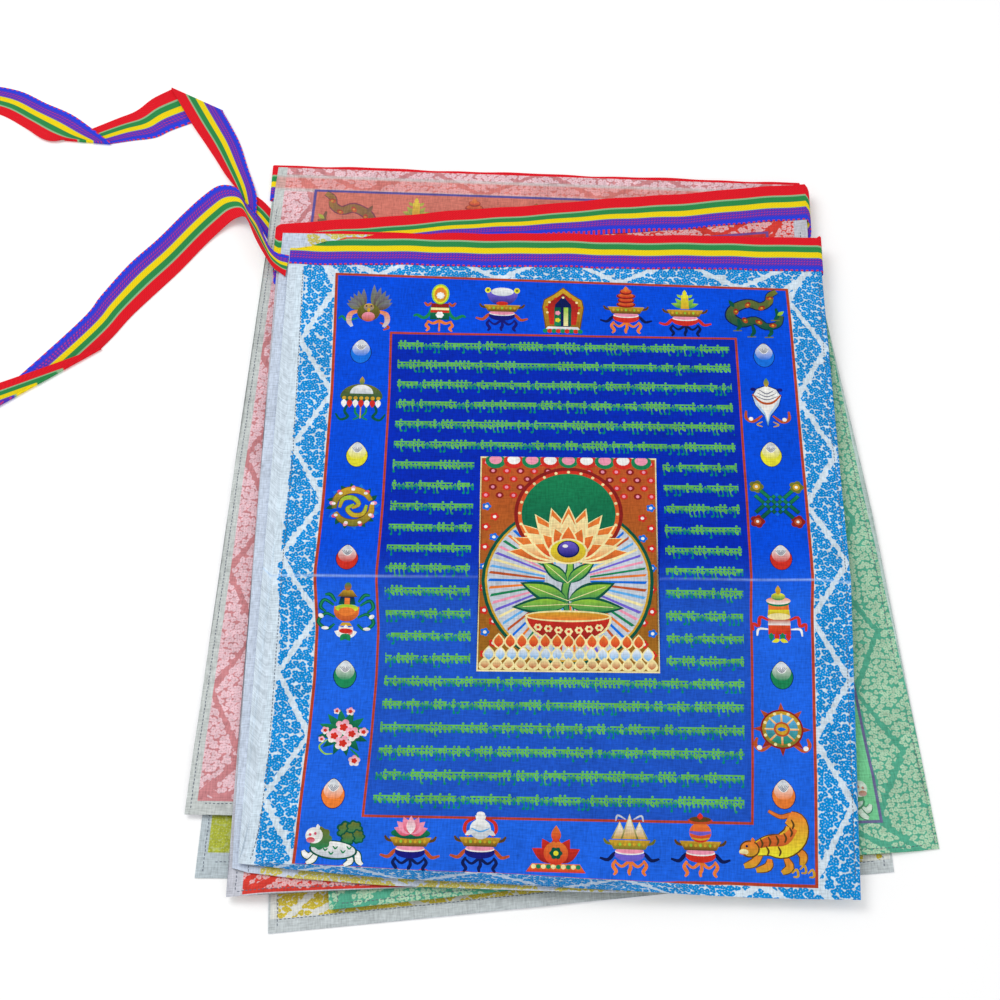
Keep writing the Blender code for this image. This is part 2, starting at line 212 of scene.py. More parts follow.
def vineGroup():  # rows of a small running vine: a bar, buds on short stems and dots
    lay, bud = printLayout, vineBud
    tree, given, result = newGroup(
        "vineRows",
        [("Across", floatSocket, 0.0), ("Along", floatSocket, 0.0)],
        [("Vine", floatSocket, None), ("Light", floatSocket, None)])
    down = calc(tree, "DIVIDE", calc(tree, "SUBTRACT", lay["rowTop"] + lay["rowPitch"] / 2, given["Along"]),
                lay["rowPitch"])
    row = calc(tree, "FLOOR", down)
    local = calc(tree, "MULTIPLY", calc(tree, "SUBTRACT", calc(tree, "SUBTRACT", down, row), 0.5),
                 -lay["rowPitch"])
    shifted = calc(tree, "DIVIDE", calc(tree, "MULTIPLY_ADD", row, 1.37, given["Across"]), bud["step"])
    cell = calc(tree, "FLOOR", shifted)
    pair = tree.nodes.new("ShaderNodeCombineXYZ")
    tree.links.new(cell, pair.inputs["X"])
    tree.links.new(row, pair.inputs["Y"])
    jitter = tree.nodes.new("ShaderNodeTexWhiteNoise")
    jitter.noise_dimensions = "2D"
    tree.links.new(pair.outputs[0], jitter.inputs["Vector"])
    chances = tree.nodes.new("ShaderNodeSeparateColor")
    tree.links.new(jitter.outputs["Color"], chances.inputs[0])
    first, second, third = chances.outputs[:3]
    localX = calc(tree, "MULTIPLY", calc(tree, "SUBTRACT", calc(tree, "SUBTRACT", shifted, cell), 0.5), bud["step"])
    bar = calc(tree, "ABSOLUTE", calc(tree, "SUBTRACT", local, bud["bar"]))
    bar = stepUp(tree, calc(tree, "SUBTRACT", bud["barHalf"], bar), 0.0, 0.2)
    bar = calc(tree, "MULTIPLY", bar, calc(tree, "GREATER_THAN", third, bud["gap"]))

    def round(x, y, size):  # how far inside a disc about x, y
        away = calc(tree, "SQRT", calc(tree, "ADD", calc(tree, "POWER", calc(tree, "SUBTRACT", localX, x), 2.0),
                                       calc(tree, "POWER", calc(tree, "SUBTRACT", local, y), 2.0)))
        return calc(tree, "SUBTRACT", size, away)

    budY = calc(tree, "MULTIPLY_ADD", second, -1.1, 0.85)
    ring = calc(tree, "ABSOLUTE", round(0.0, budY, bud["ring"]))
    ring = stepUp(tree, calc(tree, "SUBTRACT", bud["ringLine"], ring), 0.0, 0.2)
    hangs = calc(tree, "GREATER_THAN", first, bud["tails"])
    foot = calc(tree, "MULTIPLY_ADD", hangs, bud["tail"] - bud["foot"], bud["foot"])
    lean = calc(tree, "ADD", calc(tree, "MULTIPLY_ADD", calc(tree, "SUBTRACT", third, 0.5), 1.1, localX),
                calc(tree, "MULTIPLY", local, 0.14))
    stem = stepUp(tree, calc(tree, "SUBTRACT", bud["stem"], calc(tree, "ABSOLUTE", lean)), 0.0, 0.2)
    stem = chain(tree, "MULTIPLY", [stem, calc(tree, "GREATER_THAN", local, foot), calc(tree, "LESS_THAN", local, bud["bar"])])
    tip = stepUp(tree, round(calc(tree, "MULTIPLY", second, 0.7), foot, 0.72), 0.0, 0.2)
    over = calc(tree, "MULTIPLY", stepUp(tree, round(0.0, 3.3, 0.66), 0.0, 0.2), calc(tree, "GREATER_THAN", third, 0.62))
    marks = chain(tree, "MAXIMUM", [bar, ring, stem, tip, over])
    rowsOnly = calc(tree, "MULTIPLY", calc(tree, "GREATER_THAN", row, -0.5),
                    calc(tree, "LESS_THAN", row, lay["rowCount"] - 0.5))
    inReach = calc(tree, "LESS_THAN", calc(tree, "ABSOLUTE", given["Across"]), lay["rowReach"])
    besideX = calc(tree, "SUBTRACT", calc(tree, "ABSOLUTE", calc(tree, "SUBTRACT", given["Across"], lay["pictureSide"])),
                   lay["pictureX"] + 3.4)
    besideY = calc(tree, "SUBTRACT", calc(tree, "ABSOLUTE", calc(tree, "SUBTRACT", given["Along"], lay["pictureMid"])),
                   lay["pictureY"] + 3.0)
    clear = calc(tree, "GREATER_THAN", calc(tree, "MAXIMUM", besideX, besideY), 0.0)
    tree.links.new(chain(tree, "MULTIPLY", [marks, rowsOnly, inReach, clear]), result["Vine"])
    tree.links.new(stepUp(tree, calc(tree, "MULTIPLY_ADD", third, 4.4, local), 1.2, 1.8), result["Light"])
    return tree


def weaveGroup():  # a fine uneven plain weave: height and a little shade
    tree, given, result = newGroup(
        "plainWeave",
        [("Place", vectorSocket, None), ("Thread", floatSocket, 0.8), ("Strength", floatSocket, 1.0)],
        [("Height", floatSocket, None), ("Shade", floatSocket, None)])
    heights = []
    for stretch in ((1.0, 0.16, 1.0), (0.16, 1.0, 1.0)):
        mapping = tree.nodes.new("ShaderNodeMapping")
        mapping.inputs["Scale"].default_value = stretch
        tree.links.new(given["Place"], mapping.inputs["Vector"])
        grain = tree.nodes.new("ShaderNodeTexNoise")
        grain.inputs["Detail"].default_value = 1.0
        tree.links.new(mapping.outputs[0], grain.inputs["Vector"])
        tree.links.new(calc(tree, "DIVIDE", 1.0, given["Thread"]), grain.inputs["Scale"])
        heights.append(grain.outputs[0])
    both = calc(tree, "SUBTRACT", calc(tree, "ADD", *heights), 1.0)
    tree.links.new(calc(tree, "MULTIPLY", both, given["Strength"]), result["Height"])
    cloud = tree.nodes.new("ShaderNodeTexNoise")
    cloud.inputs["Scale"].default_value = 0.045
    cloud.inputs["Detail"].default_value = 3.0
    tree.links.new(given["Place"], cloud.inputs["Vector"])
    slow = calc(tree, "MULTIPLY", calc(tree, "SUBTRACT", cloud.outputs[0], 0.5), 0.55)
    tree.links.new(calc(tree, "ADD", calc(tree, "MULTIPLY_ADD", both, 0.75, 1.0), slow), result["Shade"])
    return tree


groups = {"lace": laceGroup(), "vine": vineGroup(), "weave": weaveGroup()}
print("stage: shader groups made")

# Each flag's dyes: ground and lace of its border, field, frame line and vine, then
# the same as its back shows them, paler and greyed.
clothDyes = {
    "blue": {"ground": ink(212, 228, 240), "lace": ink(0, 140, 216), "heart": ink(168, 214, 238), "hem": ink(208, 222, 234),
             "field": ink(0, 76, 222), "inner": ink(0, 42, 180), "line": ink(182, 66, 38), "vine": ink(0, 134, 108),
             "vineLight": ink(104, 190, 66), "fade": 0.0, "petals": 1.0, "hemSide": 0.0, "hemFront": 0.0,
             "reach": (0.0, 5.5)},
    "white": {"ground": ink(222, 224, 218), "lace": ink(206, 186, 62), "heart": ink(226, 214, 150), "hem": ink(196, 204, 206),
              "field": ink(228, 226, 218), "inner": ink(228, 226, 218), "line": ink(196, 120, 60), "vine": ink(60, 70, 150),
              "vineLight": ink(90, 90, 160), "fade": 0.0, "petals": 1.0, "hemSide": 1.0, "hemFront": 7.0},
    "red": {"ground": ink(214, 64, 54), "lace": ink(226, 176, 178), "heart": ink(214, 64, 54), "hem": ink(196, 198, 208),
            "field": ink(206, 56, 46), "inner": ink(206, 56, 46), "line": ink(120, 80, 150), "vine": ink(60, 90, 60),
            "vineLight": ink(226, 200, 90), "fade": 0.0, "petals": 0.92, "hemSide": 8.0, "hemFront": 0.5},
    "green": {"ground": ink(60, 170, 130), "lace": ink(206, 220, 160), "heart": ink(60, 170, 130), "hem": ink(190, 206, 200),
              "field": ink(60, 170, 120), "inner": ink(60, 170, 120), "line": ink(120, 110, 140), "vine": ink(30, 90, 70),
              "vineLight": ink(210, 220, 120), "fade": 0.0, "petals": 0.92, "hemSide": 5.0, "hemFront": 3.0},
    "yellow": {"ground": ink(222, 216, 190), "lace": ink(204, 184, 50), "heart": ink(222, 216, 150), "hem": ink(200, 206, 204),
               "field": ink(220, 196, 60), "inner": ink(220, 196, 60), "line": ink(170, 100, 60), "vine": ink(90, 110, 60),
               "vineLight": ink(150, 130, 60), "fade": 0.0, "petals": 1.0, "hemSide": 5.0, "hemFront": 9.0},
    "redBack": {"ground": ink(206, 136, 140), "lace": ink(236, 198, 206), "heart": ink(212, 148, 152), "hem": ink(200, 206, 204),
                "field": ink(208, 122, 108), "inner": ink(208, 122, 108), "line": ink(96, 88, 156), "vine": ink(170, 110, 100),
                "vineLight": ink(196, 150, 120), "fade": 0.35, "petals": 0.95, "hemSide": 5.6, "hemFront": 0.8,
                "seams": (191.5, 181.5), "between": ink(222, 116, 96)},
    "greenBack": {"ground": ink(86, 172, 142), "lace": ink(178, 212, 180), "heart": ink(96, 178, 148), "hem": ink(190, 210, 204),
                  "field": ink(120, 206, 150), "inner": ink(120, 206, 150), "line": ink(110, 108, 150), "vine": ink(90, 150, 110),
                  "vineLight": ink(170, 200, 130), "fade": 0.35, "petals": 0.84, "hemSide": -4.0, "hemFront": 0.6,
                  "reach": (8.6, 8.6)},
    "whiteBack": {"ground": ink(206, 214, 228), "lace": ink(206, 194, 96), "heart": ink(226, 222, 200), "hem": ink(200, 212, 230),
                  "field": ink(222, 222, 222), "inner": ink(222, 222, 222), "line": ink(190, 150, 120), "vine": ink(120, 120, 170),
                  "vineLight": ink(150, 150, 180), "fade": 0.5, "petals": 1.0, "hemSide": 14.0, "hemFront": -8.0},
    "blueBack": {"ground": ink(206, 216, 226), "lace": ink(96, 160, 214), "heart": ink(170, 200, 226), "hem": ink(190, 200, 214),
                 "field": ink(70, 110, 214), "inner": ink(60, 90, 200), "line": ink(150, 100, 110), "vine": ink(60, 140, 130),
                 "vineLight": ink(110, 160, 110), "fade": 0.45, "petals": 1.0, "hemSide": 5.0, "hemFront": 9.0},
    "yellowBack": {"ground": ink(190, 200, 120), "lace": ink(178, 186, 66), "heart": ink(206, 212, 140), "hem": ink(188, 200, 206),
                   "field": ink(208, 190, 96), "inner": ink(208, 190, 96), "line": ink(160, 120, 90), "vine": ink(130, 130, 80),
                   "vineLight": ink(160, 150, 90), "fade": 0.45, "petals": 1.0, "hemSide": 5.0, "hemFront": 13.5},
}
# The cloth's finish; it also holds the colours of a painted sheen on the top flag's field below its crease and of a
# painted highlight along that crease.
clothFinish = {"roughness": 0.62, "sheen": 0.0, "sheenRoughness": 0.5, "thread": 0.85, "bump": 0.35, "specular": 0.06,
               "paintedSheen": ink(70, 160, 250), "paintedSheenBy": 0.2, "paintedSheenTop": -14.0, "paintedSheenSoft": 22.0,
               "creaseAt": -14.9, "creaseHalf": 0.6, "creaseHighlight": ink(190, 220, 255)}


def clothMaterial(name):
    dyes, lay = clothDyes[name], printLayout
    material = bpy.data.materials.new("cloth_" + name)
    material.use_nodes = True
    tree = material.node_tree
    shader = tree.nodes["Principled BSDF"]
    vector, across, along = printPlace(tree)
    leftReach, rightReach = dyes.get("reach", (0.0, 0.0))
    lace = useGroup(tree, groups["lace"], {"Place": vector, "Petal Size": dyes["petals"],
                                           "Left Reach": leftReach, "Right Reach": rightReach})
    vine = useGroup(tree, groups["vine"], {"Across": across, "Along": along})
    weave = useGroup(tree, groups["weave"], {"Place": vector, "Thread": clothFinish["thread"]})
    colour = blendColour(tree, lace["Flower"], dyes["ground"], dyes["lace"])
    colour = blendColour(tree, lace["Heart"], colour, dyes["heart"])
    hemX = calc(tree, "SUBTRACT", calc(tree, "ABSOLUTE", across), sheetCut["right"] - dyes["hemSide"])
    hemY = calc(tree, "SUBTRACT", calc(tree, "MULTIPLY", along, -1.0), -sheetCut["front"] - dyes["hemFront"])
    colour = blendColour(tree, stepUp(tree, calc(tree, "MAXIMUM", hemX, hemY), 0.0), colour, dyes["hem"])
    if "between" in dyes:
        band = calc(tree, "MULTIPLY", stepUp(tree, calc(tree, "SUBTRACT", along, dyes["seams"][1]), 0.0, 1.0),
                    stepUp(tree, calc(tree, "SUBTRACT", dyes["seams"][0], along), 0.0, 1.0))
        colour = blendColour(tree, calc(tree, "MULTIPLY", band, 0.5), colour, dyes["between"])
    for seam in dyes.get("seams", ()):  # lines where the cloth's head is folded over the tape
        off = calc(tree, "ABSOLUTE", calc(tree, "SUBTRACT", along, seam))
        line = calc(tree, "MULTIPLY", stepUp(tree, calc(tree, "SUBTRACT", 1.1, off), 0.0, 0.8), 0.6)
        colour = blendColour(tree, line, colour, dyes["hem"])
    outX = calc(tree, "SUBTRACT", calc(tree, "ABSOLUTE", across), lay["fieldX"])
    outY = calc(tree, "SUBTRACT", calc(tree, "ABSOLUTE", along), lay["fieldY"])
    out = calc(tree, "MAXIMUM", outX, outY)
    inX = calc(tree, "SUBTRACT", calc(tree, "ABSOLUTE", across), lay["innerX"])
    inY = calc(tree, "SUBTRACT", calc(tree, "ABSOLUTE", calc(tree, "SUBTRACT", along, lay["innerMid"])), lay["innerY"])
    inner = calc(tree, "MAXIMUM", inX, inY)
    field = blendColour(tree, stepUp(tree, inner, 0.0), dyes["inner"], dyes["field"])
    if name == "blue":  # painted sheen: below its crease the top flag's field is lightened towards pale blue, standing in for the light its lower half turns to
        below = stepUp(tree, calc(tree, "SUBTRACT", clothFinish["paintedSheenTop"], along), 0.0, clothFinish["paintedSheenSoft"])
        field = blendColour(tree, calc(tree, "MULTIPLY", below, clothFinish["paintedSheenBy"]), field, clothFinish["paintedSheen"])
    colour = blendColour(tree, stepUp(tree, out, 0.0), field, colour)
    tint = blendColour(tree, vine["Light"], dyes["vine"], dyes["vineLight"])
    colour = blendColour(tree, vine["Vine"], colour, tint)
    lines = calc(tree, "MAXIMUM", stepUp(tree, calc(tree, "SUBTRACT", lay["innerLine"], calc(tree, "ABSOLUTE", inner)), 0.0),
                 stepUp(tree, calc(tree, "SUBTRACT", lay["frameLine"], calc(tree, "ABSOLUTE", out)), 0.0))
    colour = blendColour(tree, lines, colour, dyes["line"])
    if name == "blue":  # painted highlight: a thin light line along the crease itself, brightest towards the sides
        off = calc(tree, "ABSOLUTE", calc(tree, "SUBTRACT", along, clothFinish["creaseAt"]))
        thin = stepUp(tree, calc(tree, "SUBTRACT", clothFinish["creaseHalf"], off), 0.0, 0.7)
        side = stepUp(tree, calc(tree, "SUBTRACT", calc(tree, "ABSOLUTE", across), 100.0), 0.0, 60.0)
        colour = blendColour(tree, calc(tree, "MULTIPLY", thin, calc(tree, "MULTIPLY_ADD", side, 0.5, 0.08)), colour,
                             clothFinish["creaseHighlight"])
    # the ink attribute holds the printed motifs and, on the top flag's rolled border, a painted shade
    painted = tree.nodes.new("ShaderNodeAttribute")
    painted.attribute_name = "ink"
    strength = calc(tree, "MULTIPLY", painted.outputs["Alpha"], 1.0 - dyes["fade"])
    colour = blendColour(tree, strength, colour, painted.outputs["Color"])
    shade = tree.nodes.new("ShaderNodeCombineColor")
    for socket in shade.inputs[:3]:
        tree.links.new(weave["Shade"], socket)
    colour = blendColour(tree, 0.85, colour, blendColour(tree, 1.0, colour, shade.outputs[0], "MULTIPLY"))
    tree.links.new(colour, shader.inputs["Base Color"])
    bump = tree.nodes.new("ShaderNodeBump")
    bump.inputs["Strength"].default_value = clothFinish["bump"]
    bump.inputs["Distance"].default_value = 0.0006
    tree.links.new(weave["Height"], bump.inputs["Height"])
    tree.links.new(bump.outputs["Normal"], shader.inputs["Normal"])
    shader.inputs["Roughness"].default_value = clothFinish["roughness"]
    shader.inputs["Specular IOR Level"].default_value = clothFinish["specular"]
    shader.inputs["Sheen Weight"].default_value = clothFinish["sheen"]
    shader.inputs["Sheen Roughness"].default_value = clothFinish["sheenRoughness"]
    return material


clothMaterials = {name: clothMaterial(name) for name in clothDyes}
print("stage: cloth materials made")

stack = {"pitch": 1.3, "panel": 1.0, "cloth": 0.36, "levelFrom": 172.0, "tape": 26.0, "gridStep": 4.0,
         "meshStep": 5.0, "rimStep": 4.0, "hem": 5.5, "hemRise": 0.12}
flagSpecs = {
    1: {"dye": "blue", "under": "blueBack", "corners": [(-161, 215), (150, 220), (151, -189), (-160, -188)], "bows": (1, 7)},
    2: {"dye": "whiteBack", "under": "white", "corners": [(-166, 214), (146, 217), (148, -183), (-164, -186)], "bows": (1.5, 0)},
    3: {"dye": "red", "under": "redBack", "corners": [(-168, 219), (144, 260), (146, -172), (-166, -195)], "bows": (0, 0)},
    4: {"dye": "greenBack", "under": "green", "corners": [(-167, 203), (141, 243), (194, -158), (-114, -200)], "bows": (0, 6)},
    5: {"dye": "yellow", "under": "yellowBack", "corners": [(-167, 206), (142, 236), (150, -168), (-150, -186)], "bows": (0, 0)},
    6: {"dye": "blueBack", "under": "blue", "corners": [(-168, 222), (143, 240), (146, -166), (-158, -183)], "bows": (0, 0)},
    7: {"dye": "white", "under": "whiteBack", "corners": [(-168, 208), (141, 243), (170, -171), (-144, -212)], "bows": (0, 2)},
    8: {"dye": "redBack", "under": "red", "corners": [(-173, 269), (143, 266), (124, -150), (-191, -151)], "bows": (0, 0)},
    9: {"dye": "green", "under": "greenBack", "corners": [(-175, 268), (140, 262), (136, -146), (-182, -142)], "bows": (0, 0)},
    10: {"dye": "yellowBack", "under": "yellow", "corners": [(-172, 234), (139, 246), (130, -178), (-183, -184)], "bows": (0, 0)},
}
# Flags whose print sits differently on their cut: back edge, front edge, slide across.
ownCut = {2: (201.0, -197.0, 0.0), 4: (214.0, -198.7, -3.0), 8: (199.8, -209.4, 0.0)}
# The two upper flags' front edges, which roll up towards the left, and the top one's crease.
frontEdges = {
    1: ((-160, -136, -90, -20, 20, 61, 100, 151), (-178.8, -182.0, -185.2, -186.5, -187.5, -188.5, -189.0, -189.0)),
    2: ((-164, -155, -136, -90, -20, 20, 60, 148), (-180.2, -183.2, -185.6, -188.0, -188.6, -188.6, -187.5, -183.0)),
}
# The top flag's front crease and the border squeezed past it; its shade and ink set a painted shade that darkens the
# rolled border.
frontBand = {"x": (-160, -119, -72, -20, 12, 53, 84), "y": (-178.3, -178.9, -180.2, -180.9, -182.1, -182.9, -183.4),
             "until": 84.0, "easeFrom": 40.0, "squeeze": 2.6, "lace": 182.2, "field": 180.0, "shade": 0.4, "ink": ink(40, 84, 140)}
# The top flag's left edge, which draws in over its lower half.
leftEdge = {"y": (-189, -178, -165, -152, -130, -97, -3, 60, 120, 190, 215),
            "x": (-161, -160.2, -157.6, -156.2, -155, -154.9, -155.5, -154.8, -156, -157.6, -158.6)}
# The right edges of the two flags that show theirs.
rightEdges = {
    1: {"y": (-189, -164, -115, -82, -58, -35, -10, 14, 52, 78, 93, 131, 173, 220),
        "x": (151.5, 151, 152.2, 152.9, 153.6, 153.8, 155.8, 154.9, 154.4, 153.1, 151.8, 151.5, 150.8, 150)},
    4: {"y": (-158, -120, -79, -44, -20, 4, 29, 55, 68, 107, 130, 243),
        "x": (193, 187, 181.7, 177.3, 174.6, 173.5, 172.9, 169.6, 166.5, 158.1, 153, 141)},
}
# How the top flag's print leans from the straight, read along its two side lines and its tilt.
topWarp = {
    "leftAt": (-182, -150, -110, -75, -45, -15, 32, 75, 105, 150, 182),
    "leftBy": (-2.2, -0.8, 1.2, 2.2, 1.7, -1.5, 0.0, 0.3, 0.5, -0.5, -1.5),
    "rightAt": (-182, -150, -125, -92, -62, -35, -12, 0, 37, 75, 112, 150, 182),
    "rightBy": (-1.8, -1.0, 0.0, 1.0, 2.0, 2.6, 3.8, 3.8, 3.0, 1.8, 0.8, -0.2, -1.5),
    "tiltAt": (0, 135, 181), "tiltBy": (2.4, 2.2, -1.4),
}


def sidePoints(start, end, bow, count=24):
    start, end = np.array(start, float), np.array(end, float)
    along = end - start
    outward = np.array([-along[1], along[0]]) / np.linalg.norm(along)
    share = np.linspace(0, 1, count)[:, None]
    return start + share * along + outward * bow * 4 * share * (1 - share)


def clothOutline(number):  # clockwise from the back left corner
    spec = flagSpecs[number]
    backLeft, backRight, frontRight, frontLeft = spec["corners"]
    right = sidePoints(backRight, frontRight, spec["bows"][1])
    left = sidePoints(frontLeft, backLeft, spec["bows"][0])
    back = sidePoints(backLeft, backRight, 0, 20)
    front = sidePoints(frontRight, frontLeft, 0, 40)
    if number == 1:
        left[:, 0] = np.interp(left[:, 1], leftEdge["y"], leftEdge["x"])
    if number in rightEdges:
        right[:, 0] = np.interp(right[:, 1], rightEdges[number]["y"], rightEdges[number]["x"])
    whole = np.vstack([back[:-1], right[:-1], front[:-1], left[:-1]])
    if number in frontEdges:
        edge = np.interp(whole[:, 0], *frontEdges[number])
        whole[:, 1] = np.maximum(whole[:, 1], edge)
        low = slice(len(back) + len(right) - 2, len(back) + len(right) + len(front) - 2)
        whole[low, 1] = edge[low]
    return whole


def topShift(points):
    x, y = points[:, 0], points[:, 1]
    share = (x + 131) / 262
    left = np.interp(y, topWarp["leftAt"], topWarp["leftBy"])
    right = np.interp(y, topWarp["rightAt"], topWarp["rightBy"])
    tilt = np.interp(np.abs(y), topWarp["tiltAt"], topWarp["tiltBy"])
    return np.stack([left * (1 - share) + right * share, tilt * x / 131], 1)


def printToFlag(number, points):  # from the printed sheet's millimetres to the flag where it lies
    points = np.array(points, float)
    if number == 1:
        return points + topShift(points)
    spec, cut = flagSpecs[number], sheetCut
    cutBack, cutFront, slide = ownCut.get(number, (cut["back"], cut["front"], 0.0))
    across = (points[:, 0] - slide - cut["left"]) / (cut["right"] - cut["left"])
    if number % 2 == 0:
        across = 1 - across
    along = (cutBack - points[:, 1]) / (cutBack - cutFront)
    backLeft, backRight, frontRight, frontLeft = [np.array(c, float) for c in spec["corners"]]
    across, along = across[:, None], along[:, None]
    head = backLeft * (1 - across) + backRight * across
    foot = frontLeft * (1 - across) + frontRight * across
    return head * (1 - along) + foot * along


def flagToPrint(number, points):  # the way back, by a few steps of correction
    points = np.array(points, float)
    guess = points.copy()
    if number != 1:
        spec = flagSpecs[number]
        middle = np.mean(spec["corners"], axis=0)
        guess = points - middle
        if number % 2 == 0:
            guess[:, 0] *= -1
    for _ in range(12):
        miss = points - printToFlag(number, guess)
        if number % 2 == 0:
            miss[:, 0] *= -1
        guess = guess + miss
    return guess


class HeightField:  # a panel's upper side on a regular grid, smoothed from its CAD node
    def __init__(self, number):
        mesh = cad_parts[f"flag_{number:02d}"].data
        tree = BVHTree.FromPolygons([v.co for v in mesh.vertices], [tuple(p.vertices) for p in mesh.polygons])
        self.xs = np.arange(-206, 216, stack["gridStep"])
        self.ys = np.arange(-228, 290, stack["gridStep"])
        heights = np.full((len(self.xs), len(self.ys)), np.nan)
        for i, x in enumerate(self.xs):
            for j, y in enumerate(self.ys):
                start = Vector(place([(x, y, 0)])[0]) + Vector((0, 0, 0.1))
                hit = tree.ray_cast(start, Vector((0, 0, -1)))[0]
                if hit is not None:
                    heights[i, j] = hit.z * 1000
        flat = (10 - number) * stack["pitch"] + stack["panel"]
        heights[:, self.ys > stack["levelFrom"]] = flat
        while np.isnan(heights).any():
            padded = np.pad(heights, 1, constant_values=np.nan)
            around = np.stack([padded[1 + a:padded.shape[0] - 1 + a, 1 + b:padded.shape[1] - 1 + b]
                               for a in (-1, 0, 1) for b in (-1, 0, 1)])
            known = ~np.isnan(around)
            mean = np.where(known, around, 0).sum(0) / np.maximum(known.sum(0), 1)
            fill = np.isnan(heights) & (known.sum(0) > 0)
            heights[fill] = mean[fill]
        for _ in range(2):
            padded = np.pad(heights, 1, mode="edge")
            heights = sum(padded[1 + a:padded.shape[0] - 1 + a, 1 + b:padded.shape[1] - 1 + b]
                          for a in (-1, 0, 1) for b in (-1, 0, 1)) / 9
        self.heights = heights

    def at(self, points):
        fx = np.clip((points[:, 0] - self.xs[0]) / stack["gridStep"], 0, len(self.xs) - 1.001)
        fy = np.clip((points[:, 1] - self.ys[0]) / stack["gridStep"], 0, len(self.ys) - 1.001)
        i, j = fx.astype(int), fy.astype(int)
        u, v = fx - i, fy - j
        h = self.heights
        return (h[i, j] * (1 - u) * (1 - v) + h[i + 1, j] * u * (1 - v)
                + h[i, j + 1] * (1 - u) * v + h[i + 1, j + 1] * u * v)


# Creases and small waves that the cloth shows: number, direction in degrees, place along
# it, height, half-width, and a reach along the crease from and to.
creases = {
    1: [(90, -13.0, 1.0, 5.0, -170, 170), (90, 151.0, 0.12, 4.0, -130, 130), (90, -62.0, 0.14, 5.0, -130, 40)],
    4: [(90, -120.0, 0.9, 6.0, 100, 210)],
    8: [(90, -108.0, 0.8, 5.0, -210, -100)],
}
ripple = {"height": 0.16, "size": 0.035, "fine": 0.07, "fineSize": 0.11}


def clothHeight(number, field, points, printed):
    heights = field.at(points) - 0.35
    for _, middle, rise, halfWidth, start, end in creases.get(number, []):
        along = np.clip(np.minimum(points[:, 0] - start, end - points[:, 0]) / 20, 0, 1)
        heights = heights + rise * along * np.exp(-np.abs(points[:, 1] - middle) / halfWidth)
    waves = np.array([noise.noise(Vector((x * ripple["size"], y * ripple["size"], number * 7.3))) * ripple["height"]
                      + noise.noise(Vector((x * ripple["fineSize"], y * ripple["fineSize"], number * 3.1))) * ripple["fine"]
                      for x, y in points])
    calm = np.clip((stack["levelFrom"] + 12 - points[:, 1]) / 30, 0.15, 1)
    heights = heights + waves * calm
    if number % 2 == 0:
        overTape = np.clip((points[:, 1] - tapeFront(number, points[:, 0])) / 3 + 1, 0, 1)
        heights = heights + 0.58 * overTape
    side = np.minimum(printed[:, 0] - sheetCut["left"], sheetCut["right"] - printed[:, 0])
    if number != 2:
        heights = heights + stack["hemRise"] * (side < stack["hem"])
    return heights


def tapeFront(number, x):
    (x0, y0), (x1, y1) = flagSpecs[number]["corners"][:2]
    length = math.hypot(x1 - x0, y1 - y0)
    return y0 + (x - x0) * (y1 - y0) / (x1 - x0) - stack["tape"] * length / (x1 - x0)


def rolledPrint(printed, points):  # the top flag's border, squeezed past its front crease
    crease = np.interp(points[:, 0], frontBand["x"], frontBand["y"])
    past = crease - points[:, 1]
    rolled = points[:, 0] < frontBand["until"]
    band = rolled & (past > 0.01)
    held = printed[:, 1].copy()
    held[band] = -frontBand["lace"] - past[band] * frontBand["squeeze"]
    short = rolled & ~band & (printed[:, 1] < -frontBand["field"])
    held[short] = -frontBand["field"]
    easing = np.clip((points[:, 0] - frontBand["easeFrom"]) / (frontBand["until"] - frontBand["easeFrom"]), 0, 1)
    printed[:, 1] = held * (1 - easing) + printed[:, 1] * easing
    return printed


def insidePolygon(points, polygon):
    x, y = points[:, 0], points[:, 1]
    inside = np.zeros(len(points), bool)
    for (x0, y0), (x1, y1) in zip(polygon, np.roll(polygon, -1, axis=0)):
        crosses = ((y0 > y) != (y1 > y)) & (x < (x1 - x0) * (y - y0) / (y1 - y0 + 1e-12) + x0)
        inside ^= crosses
    return inside


def sheetPolygon(number):  # the outline, its back edge drawn under or over the tape
    outline = clothOutline(number)
    reach = 8.0 if number % 2 else stack["tape"] - 2.2
    limit = tapeFront(number, outline[:, 0]) + reach
    outline[:, 1] = np.minimum(outline[:, 1], limit)
    return outline[::-1]


